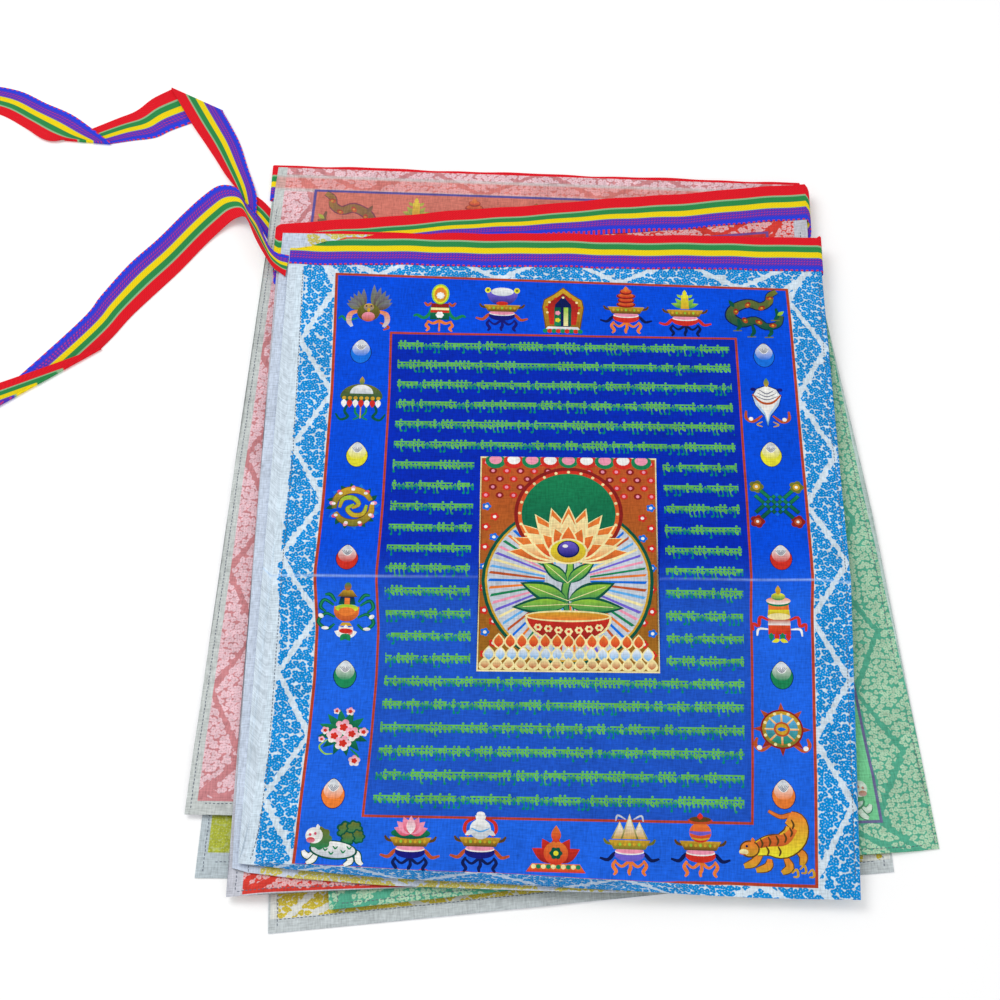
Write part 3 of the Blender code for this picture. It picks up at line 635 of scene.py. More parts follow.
def buildCloth(number, shapes):
    spec = flagSpecs[number]
    name = f"flag_{number:02d}_cloth"
    polygon = sheetPolygon(number)
    field = HeightField(number)
    step = stack["meshStep"]
    xs, ys = np.meshgrid(np.arange(-205, 212, step), np.arange(-225, 285, step), indexing="ij")
    xs = xs + (np.arange(xs.shape[1]) % 2) * step / 2
    grid = np.stack([xs.ravel(), ys.ravel()], 1)
    inner = polygon + (polygon.mean(axis=0) - polygon) * 0.012
    grid = grid[insidePolygon(grid, inner)]
    points, faces = [*polygon], [list(range(len(polygon)))]
    for outline, _, _ in shapes:
        moved = printToFlag(number, outline)
        turn = np.sum(moved[:, 0] * np.roll(moved[:, 1], -1) - np.roll(moved[:, 0], -1) * moved[:, 1])
        moved = moved if turn > 0 else moved[::-1]
        faces.append(list(range(len(points), len(points) + len(moved))))
        points += list(moved)
    if number == 1:  # two close rows of points hold the crease where field and border meet
        along = np.arange(-158, frontBand["until"], 3.0)
        crease = np.interp(along, frontBand["x"], frontBand["y"])
        grid = grid[np.abs(grid[:, 1] - np.interp(grid[:, 0], along, crease)) > 1.6]
        for offset in (0.0, -0.5):
            line = np.stack([along, crease + offset], 1)
            grid = np.vstack([grid, line[insidePolygon(line, inner)]])
    for _, middle, _, _, start, end in creases.get(number, []):
        line = np.stack([np.arange(start, end, step), np.full(len(np.arange(start, end, step)), middle)], 1)
        grid = np.vstack([grid[np.abs(grid[:, 1] - middle) > step * 0.4], line[insidePolygon(line, inner)]])
    points += list(grid)
    found = geometry.delaunay_2d_cdt([Vector(p) for p in points], [], faces, 1, 1e-5, True)
    flat = np.array([v[:] for v in found[0]])
    triangles = np.array([f[:3] for f in found[2]])
    owners = [max(o, default=0) for o in found[5]]
    printed = flagToPrint(number, flat)
    if number == 1:
        printed = rolledPrint(printed, flat)
    top = clothHeight(number, field, flat, printed)
    a, b, c = (flat[triangles[:, k]] for k in range(3))
    clockwise = (b[:, 0] - a[:, 0]) * (c[:, 1] - a[:, 1]) - (b[:, 1] - a[:, 1]) * (c[:, 0] - a[:, 0]) < 0
    triangles[clockwise] = triangles[clockwise][:, ::-1]
    count = len(flat)
    upper = place(np.column_stack([flat, top]))
    lower = place(np.column_stack([flat, np.maximum(top - stack["cloth"], 0.05)]))
    edges = np.vstack([triangles[:, [0, 1]], triangles[:, [1, 2]], triangles[:, [2, 0]]])
    keys = {(int(p), int(q)) for p, q in edges}
    rim = [(p, q) for p, q in keys if (q, p) not in keys]
    rim.sort()
    walls = [(p + count, q + count, q, p) for p, q in rim]
    mesh = bpy.data.meshes.new(name)
    allFaces = [tuple(t) for t in triangles.tolist()] + [tuple(t[::-1] + count) for t in triangles] + walls
    mesh.from_pydata(np.vstack([upper, lower]).tolist(), [], allFaces)
    layer = mesh.uv_layers.new(name="print")
    corner = np.zeros(len(mesh.loops), np.int32)
    mesh.loops.foreach_get("vertex_index", corner)
    layer.uv.foreach_set("vector", (printed[corner % count] * origin["mm"]).astype(np.float32).ravel())
    paint = mesh.color_attributes.new("ink", "FLOAT_COLOR", "CORNER")
    colours = np.zeros((len(mesh.loops), 4), np.float32)
    for side, offset in ((0, 0), (1, len(triangles))):
        for k, owner in enumerate(owners):
            if owner:
                outline, lowInk, highInk = shapes[owner - 1]
                first = (offset + k) * 3
                for loop in range(first, first + 3):
                    colours[loop] = (*inkAt(shapes[owner - 1], printed[corner[loop] % count]), 1.0)
    # painted shade: the top flag's border rolled past its front crease is darkened through the ink attribute, most at
    # its left end, standing in for the shadow of the roll
    if number == 1:
        middles = (a + b + c)[:, :2] / 3
        past = np.interp(middles[:, 0], frontBand["x"], frontBand["y"]) - middles[:, 1]
        for k in np.nonzero((past > 0.4) & (middles[:, 0] < frontBand["until"]))[0]:
            fade = min(1.0, (frontBand["until"] - middles[k, 0]) / 60) * frontBand["shade"]
            colours[k * 3:k * 3 + 3] = (*frontBand["ink"], fade)
    paint.data.foreach_set("color", colours.ravel())
    for dye in (spec["dye"], spec["under"]):
        mesh.materials.append(clothMaterials[dye])
    indices = np.zeros(len(mesh.polygons), np.int32)
    indices[len(triangles):2 * len(triangles)] = 1
    mesh.polygons.foreach_set("material_index", indices)
    mesh.polygons.foreach_set("use_smooth", np.ones(len(mesh.polygons), bool))
    mesh.update()
    mesh.validate()
    mesh.set_sharp_from_angle(angle=math.radians(50))
    piece = bpy.data.objects.new(name, mesh)
    bpy.context.scene.collection.objects.link(piece)
    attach(piece, "root")
    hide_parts(f"flag_{number:02d}")
    sides = spec["corners"]
    width = math.dist(sides[0], sides[1]) * origin["mm"]
    length = (math.dist(sides[0], sides[3]) + math.dist(sides[1], sides[2])) / 2 * origin["mm"]
    below = f"flag_{number + 1:02d}_cloth" if number < 10 else "floor"
    sheets.append((piece, (round(width, 3), round(length - 0.012, 3)), "folded", below))
    fields[number] = field
    return piece


def inkAt(shape, where):  # a shape's ink, from its low to its high end where it has two
    outline, lowInk, highInk = shape
    if highInk is None:
        return lowInk
    bottom, topEnd = outline[:, 1].min(), outline[:, 1].max()
    share = min(max((where[1] - bottom) / (topEnd - bottom), 0), 1)
    return tuple(low * (1 - share) + high * share for low, high in zip(lowInk, highInk))


# The printed motifs. Each is a list of flat shapes in paint order: an outline in
# millimetres about the motif's middle, an ink, and a second ink for its upper end.
paints = {
    "gold": ink(206, 160, 44), "deepGold": ink(150, 104, 30), "yellow": ink(228, 222, 52), "cream": ink(242, 228, 166),
    "leaf": ink(26, 132, 84), "deepLeaf": ink(8, 84, 66), "lime": ink(150, 200, 60), "olive": ink(112, 116, 44),
    "red": ink(208, 48, 36), "deepRed": ink(140, 32, 30), "orange": ink(234, 126, 52), "rust": ink(188, 84, 40),
    "white": ink(240, 240, 236), "pearl": ink(196, 204, 214), "pink": ink(238, 150, 176), "rose": ink(224, 84, 110),
    "sky": ink(96, 172, 232), "azure": ink(20, 110, 220), "navy": ink(20, 24, 120), "violet": ink(112, 96, 206),
    "night": ink(10, 26, 84), "brown": ink(92, 66, 30), "grey": ink(120, 124, 140),
}


def oval(x, y, rx, ry=None, count=18, turn=0.0):
    angles = np.arange(count) / count * 2 * math.pi
    ry = rx if ry is None else ry
    px, py = rx * np.cos(angles), ry * np.sin(angles)
    c, s = math.cos(math.radians(turn)), math.sin(math.radians(turn))
    return np.stack([x + px * c - py * s, y + px * s + py * c], 1)


def petal(x, y, length, width, turn, count=9):  # a pointed leaf that starts at x, y
    share = np.linspace(0, 1, count)
    half = width / 2 * np.sin(math.pi * share ** 0.85)
    px = np.concatenate([share * length, share[-2:0:-1] * length])
    py = np.concatenate([half, -half[-2:0:-1]])
    c, s = math.cos(math.radians(turn)), math.sin(math.radians(turn))
    return np.stack([x + px * c - py * s, y + px * s + py * c], 1)


def band(points, width, steps=4):  # a smooth stroke through a few points, thinner at its ends
    points = np.array(points, float)
    if steps > 1 and len(points) > 2:
        padded = np.vstack([2 * points[0] - points[1], points, 2 * points[-1] - points[-2]])
        smooth = []
        for k in range(1, len(padded) - 2):
            a, b, c, d = padded[k - 1:k + 3]
            for t in np.arange(steps) / steps:
                smooth.append(0.5 * (2 * b + (c - a) * t + (2 * a - 5 * b + 4 * c - d) * t ** 2
                                     + (3 * b - a - 3 * c + d) * t ** 3))
        points = np.array(smooth + [points[-1]])
    way = np.gradient(points, axis=0)
    way /= np.linalg.norm(way, axis=1, keepdims=True) + 1e-9
    side = np.stack([-way[:, 1], way[:, 0]], 1)
    share = np.linspace(0, 1, len(points))[:, None]
    half = width / 2 * (0.55 + 0.45 * np.sin(math.pi * share))
    return np.vstack([points + side * half, (points - side * half)[::-1]])


def blossom(x, y, radius, petals=5, depth=0.3, count=30, turn=0.0):
    angles = np.arange(count) / count * 2 * math.pi
    reach = radius * (1 - depth + depth * np.abs(np.cos(petals / 2 * (angles + math.radians(turn)))) ** 0.7)
    return np.stack([x + reach * np.cos(angles), y + reach * np.sin(angles)], 1)


def corners(*points):
    return np.array(points, float)


def flip(outline):
    return outline * np.array([-1, 1])


def pairOf(outline, low, high=None):  # a shape and its mirror image
    return [(outline, low, high), (flip(outline), low, high)]


def dropShape(x, y, width, height, count=22):
    angles = np.arange(count) / count * 2 * math.pi + math.pi / 2
    px = width / 2 * np.cos(angles) * (1 - 0.42 * np.clip(np.sin(angles), 0, 1) ** 1.2)
    py = height / 2 * np.sin(angles)
    return np.stack([x + px, y + py], 1)


def jewelDrop(colour):
    p = paints
    shapes = [(dropShape(0, 0, 12.6, 16.6), p["night"], None), (dropShape(0, 0, 11.8, 15.8), p[colour], None),
              (dropShape(0, 2.3, 10.0, 11.2), p[colour], p["white"]), (dropShape(0, 4.4, 5.6, 6.8), p["white"], p["pearl"])]
    for reach in (1.0, 1.9, 2.8):
        arc = [(-reach, 5.0 - reach * 0.2), (0, 3.6 - reach * 0.75), (reach, 5.0 - reach * 0.2)]
        shapes.append((band(arc, 0.45), p["grey"], None))
    return shapes


def stand(legs, ribbon, tray="brown", drum="navy"):
    p = paints
    shapes = pairOf(band([(5, -3), (8, -5), (11, -8), (15, -7)], 2.0), p[ribbon])
    shapes += pairOf(band([(8, 0), (11.5, 1), (13, 3)], 1.6), p[tray])
    for leg in ([(-7, -8), (-8.4, -11), (-6.8, -14), (-8, -16)], [(0, -9), (0.5, -12), (-0.3, -14), (0, -16)],
                [(7, -8), (8.4, -11), (6.8, -14), (8, -16)]):
        shapes.append((band(leg, 1.9), p[legs], None))
    shapes += [(band([(-7.6, -8.6), (-4, -11.4), (0, -8.8), (4, -11.4), (7.6, -8.6)], 1.7), p[legs], None),
               (oval(0, -5.2, 7.6, 3.6), p[drum], None), (oval(0, -3.6, 7.4, 1.7), p["white"], None),
               (oval(0, -3.1, 7.2, 1.5), p["pink"], None),
               (corners((-10.6, 2.4), (-8, -2.4), (8, -2.4), (10.6, 2.4)), p[tray], p["gold"])]
    for k in range(7):
        shapes.append((oval(-7.2 + k * 2.4, 0.2, 0.75, 0.9, 8), p["lime"] if k % 2 else p["gold"], None))
    return shapes


def discOffering():
    p = paints
    shapes = pairOf(band([(5, 1), (6, -4), (9, -7), (13, -5), (15, -6)], 2.2), p["leaf"])
    shapes += pairOf(band([(5, 4), (7, 2), (9, 4)], 1.8), p["rust"])
    for leg in ([(-6, -9), (-7.6, -12), (-6, -14), (-7.4, -16)], [(0, -9), (0, -16)], [(6, -9), (7.6, -12), (6, -14), (7.4, -16)]):
        shapes.append((band(leg, 1.8), p["orange"], None))
    shapes += [(band([(-7, -9), (-3.6, -10.6), (0, -9), (3.6, -10.6), (7, -9)], 2.0), p["orange"], None),
               (corners((-5, 3.4), (-5.6, -8), (5.6, -8), (5, 3.4)), p["deepLeaf"], p["leaf"]),
               (corners((-5, 3.4), (-5.2, 0.6), (5.2, 0.6), (5, 3.4)), p["deepRed"], None),
               (corners((-5.2, 0.4), (-5.3, -1.2), (5.3, -1.2), (5.2, 0.4)), p["cream"], None),
               (corners((-5.3, -1.4), (-5.4, -3), (5.4, -3), (5.3, -1.4)), p["red"], None),
               (blossom(0, -4.6, 2.4, 6), p["white"], None)]
    shapes += [(oval(0, 10, 5.2, 7.2), p["lime"], None), (oval(0, 10, 4.4, 6.4), p["yellow"], None),
               (oval(0, 9.6, 3.5, 5.2), p["gold"], p["orange"]), (blossom(0, 9, 2.5, 8), p["white"], None)]
    return shapes


def bowlOffering():
    p = paints
    shapes = stand("navy", "rust")
    shapes += [(np.vstack([oval(0, 11, 9, 9, 26)[13:], corners((9, 11))]), p["navy"], p["violet"]),
               (oval(0, 11.6, 6.6, 3.0), p["pearl"], p["white"]), (oval(0, 3.4, 3.4, 1.4), p["red"], None)]
    shapes += pairOf(oval(8.4, 12.6, 1.8, 2.0, 12), p["yellow"])
    shapes += pairOf(oval(8.4, 12.6, 0.8, 0.9, 8), p["olive"])
    return shapes


def shrine():
    p = paints
    arch = corners((-9.6, -13), (-11.6, 2), (-10.6, 7), (-5, 11), (0, 15.6), (5, 11), (10.6, 7), (11.6, 2), (9.6, -13))
    shapes = [(arch * 1.05, p["brown"], None), (arch, p["deepGold"], p["gold"]), (arch * 0.78, p["red"], p["deepRed"]),
              (arch * 0.78 * (0.55, 1) + (0, -1.4), p["night"], None),
              (corners((-5, -11), (-5, 2), (-1.2, 2), (-1.2, -11)), p["leaf"], p["deepLeaf"]),
              (corners((0.4, -11), (0.4, 2), (3.0, 2), (3.0, -11)), p["cream"], p["lime"]),
              (corners((3.2, -11), (3.2, 2), (4.8, 2), (4.8, -11)), p["deepLeaf"], None),
              (blossom(-3, -2, 1.6, 5), p["pink"], None), (blossom(-3, -7, 1.6, 5), p["yellow"], None)]
    for k in range(9):
        angle = math.radians(200 - k * 27.5)
        shapes.append((oval(9.6 * math.cos(angle), 1 + 8 * math.sin(angle), 0.8, 0.8, 8), p["red"] if k % 2 else p["cream"], None))
    shapes.append((corners((-10, -13.4), (-8.6, -11.6), (8.6, -11.6), (10, -13.4)), p["pearl"], p["white"]))
    for k in range(9):
        shapes.append((oval(-10 + k * 2.5, -14.6, 1.5, 1.5, 10), p["red"] if k % 2 else p["leaf"], None))
    return shapes


def towerOffering():
    p = paints
    shapes = stand("orange", "night", "brown", "red")
    for k, (y, width) in enumerate(((4, 5.6), (7, 4.8), (10, 5.6), (13, 3.6))):
        shapes += [(oval(0, y, width, 2.2), p["deepRed"], None), (oval(0, y + 0.4, width * 0.82, 1.6), p["red"], p["orange"])]
    shapes.append((petal(0, 13, 4, 3, 90), p["orange"], None))
    return shapes


def sproutOffering():
    p = paints
    shapes = stand("night", "red", "brown", "red")
    for turn in (20, 50, 130, 160):
        shapes.append((petal(0, 4, 8.5, 3.4, turn), p["leaf"], p["lime"]))
    shapes += [(corners((-2.4, 3), (-2, 13), (2, 13), (2.4, 3)), p["gold"], p["yellow"]), (petal(0, 12, 4.6, 2.6, 90), p["yellow"], None)]
    shapes += pairOf(petal(2, 11, 3.4, 1.8, 40), p["lime"])
    return shapes


def lotusOffering():
    p = paints
    shapes = stand("night", "rust")
    shapes += [(oval(0, 4.4, 10, 3), p["deepLeaf"], p["leaf"])]
    for turn, length, name in ((20, 9, "rose"), (160, 9, "rose"), (42, 9.6, "pink"), (138, 9.6, "pink"), (66, 9.6, "rose"),
                               (114, 9.6, "rose"), (90, 9.4, "white")):
        shapes.append((petal(0, 4, length, 4.6, turn), paints[name], paints["pink"]))
    return shapes


def vaseOffering(body="pearl", cap="white"):
    p = paints
    shapes = stand("night", "rust")
    shapes += pairOf(band([(3, 12), (7, 10), (8, 6), (6, 3)], 1.8), p["red"])
    shapes += [(oval(0, 6.6, 5.4, 5.2), p[body], p[cap]), (corners((-2, 10.6), (-2.8, 13.6), (2.8, 13.6), (2, 10.6)), p[cap], None),
               (oval(0, 14.2, 2.2, 1.4), p["white"], None), (band([(-4.6, 7), (0, 5.4), (4.6, 7)], 0.9), p["sky"], None)]
    shapes += pairOf(petal(3.4, 6, 5, 2.6, -30), p["white"], p["pearl"])
    return shapes


def crownJewel():
    p = paints
    shapes = [(corners((-15, -13.6), (-12, -9), (12, -9), (15, -13.6)), p["red"], p["orange"])]
    for k in range(10):
        shapes.append((oval(-11.2 + k * 2.5, -10.6, 1.3, 1.3, 9), p["leaf"] if k % 2 else p["cream"], None))
    for turn in (30, 60, 90, 120, 150):
        shapes.append((petal(0, -8, 14, 7, turn), p["deepRed"], p["red"]))
    shapes += [(oval(0, -3.4, 6.2, 6.2), p["red"], p["orange"]), (petal(0, 2, 9, 5, 90), p["red"], p["orange"]),
               (blossom(0, -3.4, 3.4, 6), p["deepLeaf"], None), (oval(0, -3.4, 1.3), p["yellow"], None)]
    return shapes


def moundOffering():
    p = paints
    shapes = stand("orange", "night", "olive", "violet")
    for x, y, width, height in ((-5, 3, 9, 9), (5, 3, 9, 9), (0, 3, 9, 13)):
        hill = corners((x - width / 2, y), (x - 1, y + height * 0.75), (x, y + height), (x + 1, y + height * 0.75), (x + width / 2, y))
        shapes += [(hill, p["olive"], p["cream"]), (hill * (0.8, 0.9) + (x * 0.2, 0.2), p["gold"], p["white"])]
    shapes += pairOf(band([(2, 13), (6, 15), (7, 12)], 1.0), p["pearl"])
    return shapes


def potOffering():
    p = paints
    shapes = stand("orange", "night", "brown", "red")
    shapes += [(oval(0, 6.8, 5.6, 5.2), p["red"], p["orange"]), (band([(-5.4, 7), (0, 6.2), (5.4, 7)], 2.0), p["violet"], None),
               (band([(-4.6, 4), (0, 3.2), (4.6, 4)], 1.0), p["gold"], None),
               (corners((-4.6, 11), (-6.4, 13.4), (6.4, 13.4), (4.6, 11)), p["rust"], p["red"]), (oval(0, 13.6, 5.6, 1.5), p["brown"], None),
               (petal(0, 13.4, 3.6, 3, 90), p["red"], None)]
    return shapes


def parasol():
    p = paints
    shapes = pairOf(band([(6, -2), (9, -8), (7, -12), (11, -14), (14, -10)], 1.8), p["deepLeaf"])
    shapes += pairOf(band([(3, -3), (3, -9), (1, -12), (4, -14)], 1.4), p["leaf"])
    shapes += [(band([(0, -13), (0, 14)], 1.2, 1), p["gold"], None), (petal(0, 9, 6, 3, 90), p["leaf"], p["gold"])]
    shapes += [(np.vstack([oval(0, 1, 12, 9, 28)[:15], corners((-10, -1.6), (10, -1.6))]), p["deepLeaf"], p["olive"]),
               (np.vstack([oval(0, 3.4, 6.6, 6, 24)[:13]]), p["pearl"], p["white"])]
    for k in range(7):
        x = -9.6 + k * 3.2
        shapes += [(petal(x, -0.4, 5.6, 3.2, -90), p["red"] if k % 2 else p["white"], None), (oval(x, 0.4, 1.2, 1.2, 10), p["gold"], None)]
    return shapes


def fishRing():
    p = paints
    shapes = []
    for k in range(16):
        angle = k * 22.5
        x, y = 12.2 * math.cos(math.radians(angle)), 12.2 * math.sin(math.radians(angle))
        shapes.append((petal(x * 0.78, y * 0.78, 5.6, 3.0, angle + 20), p["deepLeaf"] if k % 3 else p["azure"], None))
    for k in range(2):
        arc = [(10.4 * math.cos(t), 10.4 * math.sin(t)) for t in np.linspace(0.4 + k * math.pi, 3.3 + k * math.pi, 7)]
        inner = [(-1) ** k * np.array(q) for q in ((7.4, 1.0), (5.6, -4.4), (0.4, -5.4), (-3.0, -1.6), (0.6, 1.2))]
        shapes += [(band(arc, 5.0), p["brown"], None), (band(arc, 4.0), p["olive"], p["gold"]),
                   (band(inner, 3.4), p["brown"], None), (band(inner, 2.6), p["gold"], p["lime"])]
    for k in range(9):
        angle = math.radians(k * 40 + 12)
        x, y = 11.6 * math.cos(angle), 11.6 * math.sin(angle)
        shapes += [(oval(x, y, 1.7, 1.2, 10, k * 40), p["rose"] if k % 2 else p["pink"], None), (oval(x * 0.93, y * 0.93, 1.1, 0.9, 8), p["white"], None)]
    return shapes


def treasureVase():
    p = paints
    shapes = []
    for points in ([(7, 2), (12, 5), (14, 1), (11, -2)], [(6, -5), (11, -3), (14.6, -8), (10, -12), (6, -9)], [(6, 4), (9, 8), (12, 8)]):
        shapes += pairOf(band(points, 2.2), p["deepLeaf"]) + pairOf(band(points, 1.0), p["leaf"])
    shapes += pairOf(oval(13.4, -4.4, 1.6, 1.2, 10, 40), p["white"]) + pairOf(oval(11, -11.6, 2.0, 1.0, 10), p["white"])
    shapes += [(np.vstack([oval(0, -1, 6.8, 6.4, 24)[12:], corners((6.6, 1.4), (-6.6, 1.4))]), p["rust"], p["orange"]),
               (oval(0, 0.4, 6.2, 2.4), p["yellow"], p["lime"]), (oval(0, -1.6, 4.4, 2.6), p["orange"], None),
               (corners((-4.6, 2.6), (-3.6, 7), (3.6, 7), (4.6, 2.6)), p["deepLeaf"], p["night"]),
               (corners((-1.4, 2.6), (-1.4, 6.4), (1.4, 6.4), (1.4, 2.6)), p["orange"], None),
               (corners((-5.4, 7), (-2.4, 11), (2.4, 11), (5.4, 7)), p["brown"], p["gold"]), (oval(0, 13, 1.9, 2.4), p["rust"], p["leaf"]),
               (corners((-2, -8), (-3.4, -10), (3.4, -10), (2, -8)), p["gold"], None)]
    for k in range(5):
        shapes.append((petal(0, -15.6, 6.4, 4.4, 20 + k * 35), p["red"] if k % 2 else p["white"], p["white"]))
    shapes += [(petal(0, -14.6, 5, 3.4, -60), p["leaf"], None), (petal(0, -14.6, 5, 3.4, -120), p["leaf"], None), (oval(0, -13, 3.6, 1.5), p["red"], None)]
    return shapes


def flowerBunch():
    p = paints
    shapes = []
    for turn in range(0, 360, 30):
        shapes.append((petal(0, 1, 13.4, 4.6, turn + 10), p["deepLeaf"], p["leaf"]))
    shapes += [(band([(-8, -3), (-12, -7), (-9, -11), (-5, -11)], 1.0), p["lime"], None), (band([(4, -8), (8, -12), (8, -16)], 1.2), p["leaf"], None)]
    for x, y, radius in ((0, 4, 4.6), (-4.6, -1, 4.2), (4.4, 0.4, 4.2), (0, -5, 4.4), (-9.4, 2, 2.2), (10.4, 1.6, 2.6), (3, 13, 2.4),
                         (-4, 13, 1.8), (6.4, -14.6, 3.2), (-11, -3, 1.8)):
        shapes += [(blossom(x, y, radius, 5, 0.32, 30, x * 20), p["white"], p["pink"]), (blossom(x, y, radius * 0.5, 5, 0.3, 20), p["red"], None)]
    return shapes


def conch():
    p = paints
    shapes = pairOf(band([(3, -9), (8, -13), (12, -11), (12, -6)], 2.0), p["rust"])
    shapes += pairOf(oval(9.4, -11.4, 1.3, 1.3, 10), p["white"]) + pairOf(band([(3, -13), (6, -15), (3, -16.4)], 1.0), p["gold"])
    body = corners((0, -16), (-1.6, -9), (-6.4, -2), (-8, 4), (-5.4, 8.6), (0, 11), (5.4, 8.6), (8, 4), (6.4, -2), (1.6, -9))
    shapes += [(body * 1.06, p["night"], None), (body, p["sky"], p["white"]), (body * (0.8, 0.88) + (0, 0.8), p["white"], None)]
    for y, reach in ((8.0, 4.0), (6.0, 5.2), (4.0, 6.2)):
        shapes.append((band([(-reach, y), (0, y - 2.4), (reach, y)], 0.7), p["grey"], None))
    shapes += [(band([(-8, 5), (-4, 0.4), (0, -1), (4, 0.4), (8, 5)], 1.5), p["rust"], None), (petal(0, 10, 6.4, 3, 90), p["gold"], p["leaf"])]
    shapes += pairOf(oval(7.6, 8.4, 1.6, 1.2, 10), p["navy"])
    return shapes


def knot():
    p = paints
    shapes = []
    for x, y in ((-11, -11), (11, -11), (-11, 11), (11, 11)):
        shapes += [(blossom(x, y, 4.2, 5, 0.3, 24), p["deepRed"] if y < 0 else p["olive"], None), (oval(x, y, 2.1, 2.1, 10), p["rust"] if y < 0 else p["gold"], None),
                   (oval(x, y, 0.9, 0.9, 8), p["white"], None)]
    for offset in (-6.4, 0, 6.4):
        for way in (1, -1):
            reach = 12.4 - abs(offset) * 0.72
            line = corners((offset - reach * way / 1.42, -reach / 1.42), (offset + reach * way / 1.42, reach / 1.42))
            shapes += [(band(line, 4.6, 1), p["night"], None), (band(line, 3.6, 1), p["deepLeaf"], p["leaf"])]
    for x, y in ((0, 0), (-6.4, 0), (6.4, 0), (0, 6.4), (0, -6.4), (-3.2, 3.2), (3.2, -3.2), (3.2, 3.2), (-3.2, -3.2)):
        shapes.append((oval(x, y, 1.1, 1.1, 4), p["azure"], None))
    return shapes


def banner():
    p = paints
    shapes = pairOf(band([(5, -4), (10, -2), (11, -7), (14, -6), (14, -10)], 2.0), p["red"]) + pairOf(band([(6, -9), (11, -9), (12, -13)], 1.4), p["white"])
    shapes += [(corners((-5.4, 6), (-6, -12), (6, -12), (5.4, 6)), p["red"], p["orange"]),
               (corners((-5.6, 2.4), (-6, -1.4), (6, -1.4), (5.6, 2.4)), p["gold"], p["yellow"]), (oval(0, -1.6, 6.2, 2.0), p["cream"], None),
               (corners((-5.8, -3.4), (-6, -6.6), (6, -6.6), (5.8, -3.4)), p["white"], p["rust"]), (oval(0, 6.4, 6.2, 2.2), p["leaf"], p["deepLeaf"]),
               (oval(0, 7.6, 6.6, 2.2), p["white"], p["orange"]), (oval(0, 10, 3.8, 2.2), p["leaf"], p["yellow"]), (petal(0, 11, 5.4, 3, 90), p["gold"], None)]
    for k in range(4):
        shapes.append((petal(-4.5 + k * 3, -11, 5, 2.8, -90), p["red"] if k % 2 else p["leaf"], None))
    shapes += pairOf(petal(0, -15, 4.6, 2.4, -20), p["yellow"])
    return shapes


def wheel():
    p = paints
    shapes = pairOf(band([(6, -9), (11, -12), (14, -9), (13, -5)], 2.2), p["rust"]) + pairOf(oval(12, -10.6, 1.4, 1.4, 10), p["white"])
    for turn in range(0, 360, 45):
        shapes.append((petal(0, 0, 15.2, 4.2, turn + 90), p["deepRed"], p["rust"]))
    shapes += [(oval(0, 0, 11.2, 11.2, 28), p["deepRed"], None), (oval(0, 0, 10.2, 10.2, 28), p["olive"], p["gold"]), (oval(0, 0, 8.4, 8.4, 24), p["leaf"], p["sky"])]
    for turn in range(0, 360, 45):
        x, y = math.cos(math.radians(turn)), math.sin(math.radians(turn))
        shapes.append((band(corners((x * 2, y * 2), (x * 9, y * 9)), 1.9, 1), p["orange"], p["cream"]))
    for turn in range(22, 360, 45):
        x, y = 9.3 * math.cos(math.radians(turn)), 9.3 * math.sin(math.radians(turn))
        shapes.append((oval(x, y, 0.9, 0.9, 8), p["cream"], None))
    shapes += [(oval(0, 0, 4.2, 4.2, 18), p["rust"], None), (oval(0, 0, 3.2, 3.2, 16), p["gold"], None), (petal(-2.4, 0, 4.8, 2.2, 0), p["azure"], None)]
    return shapes


def wingedBird():  # spread wings over a round body, with clawed feet
    p = paints
    shapes = []
    for k, turn in enumerate((96, 84, 72, 60, 48, 36)):
        shapes += [(petal(3 + k * 0.4, -3, 18 - k * 1.6, 4.0, turn - 4), p["brown"] if k % 2 else p["olive"], p["grey"]),
                   (petal(-3 - k * 0.4, -3, 15 - k * 1.2, 3.8, 188 - turn), p["olive"] if k % 2 else p["brown"], p["grey"])]
    shapes += [(band([(-6, -9), (-12, -11), (-15, -8), (-17, -10)], 1.6), p["leaf"], None), (band([(7, -12), (12, -15), (9, -17)], 1.6), p["rust"], None)]
    shapes += pairOf(band([(5, -4), (10, -6), (11, -11), (9, -15)], 3.2), p["pearl"], p["orange"])
    shapes += [(oval(0, -5, 6.6, 6.2), p["brown"], p["olive"]), (oval(0, -8, 3.8, 3.4), p["rust"], p["pink"]), (oval(0, -1.2, 3.0, 2.6), p["grey"], p["gold"]),
               (petal(0, -1.6, 3.4, 2.0, -90), p["gold"], None)]
    shapes += pairOf(oval(1.4, -0.4, 0.6, 0.6, 8), p["night"])
    return shapes


def serpent():  # a coiling scaled body with short legs
    p = paints
    body = [(13, 17), (9, 14), (8, 9), (3, 6), (-4, 8), (-12, 4), (-14, -2), (-8, -6), (0, -4), (6, -8), (13, -6), (15, 0)]
    shapes = [(band(body, 7.0), p["night"], None), (band(body, 5.4), p["deepLeaf"], p["olive"])]
    for k in range(4):
        x, y = ((-10, -6), (-2, -10), (8, -10), (12, 2))[k]
        shapes += [(band([(x, y + 3), (x + 1, y - 2), (x - 1, y - 5)], 2.4), p["deepLeaf"], None), (band([(x - 3, y - 5.6), (x + 2, y - 5.4)], 1.4, 1), p["olive"], None)]
    for k in range(7):
        x, y = ((9, 12), (4, 5), (-4, 7), (-11, 2), (-6, -4), (2, -5), (10, -7))[k]
        shapes += [(oval(x, y, 2.2, 1.5, 12, k * 30), p["rust"], p["deepRed"]), (oval(x, y, 0.8, 0.7, 8), p["gold"], None)]
    shapes += [(petal(8, 7, 6, 2.6, 60), p["olive"], None), (petal(-12, 5, 6, 2.6, 120), p["deepLeaf"], None), (petal(13, 0, 5, 2.4, 40), p["lime"], None)]
    return shapes


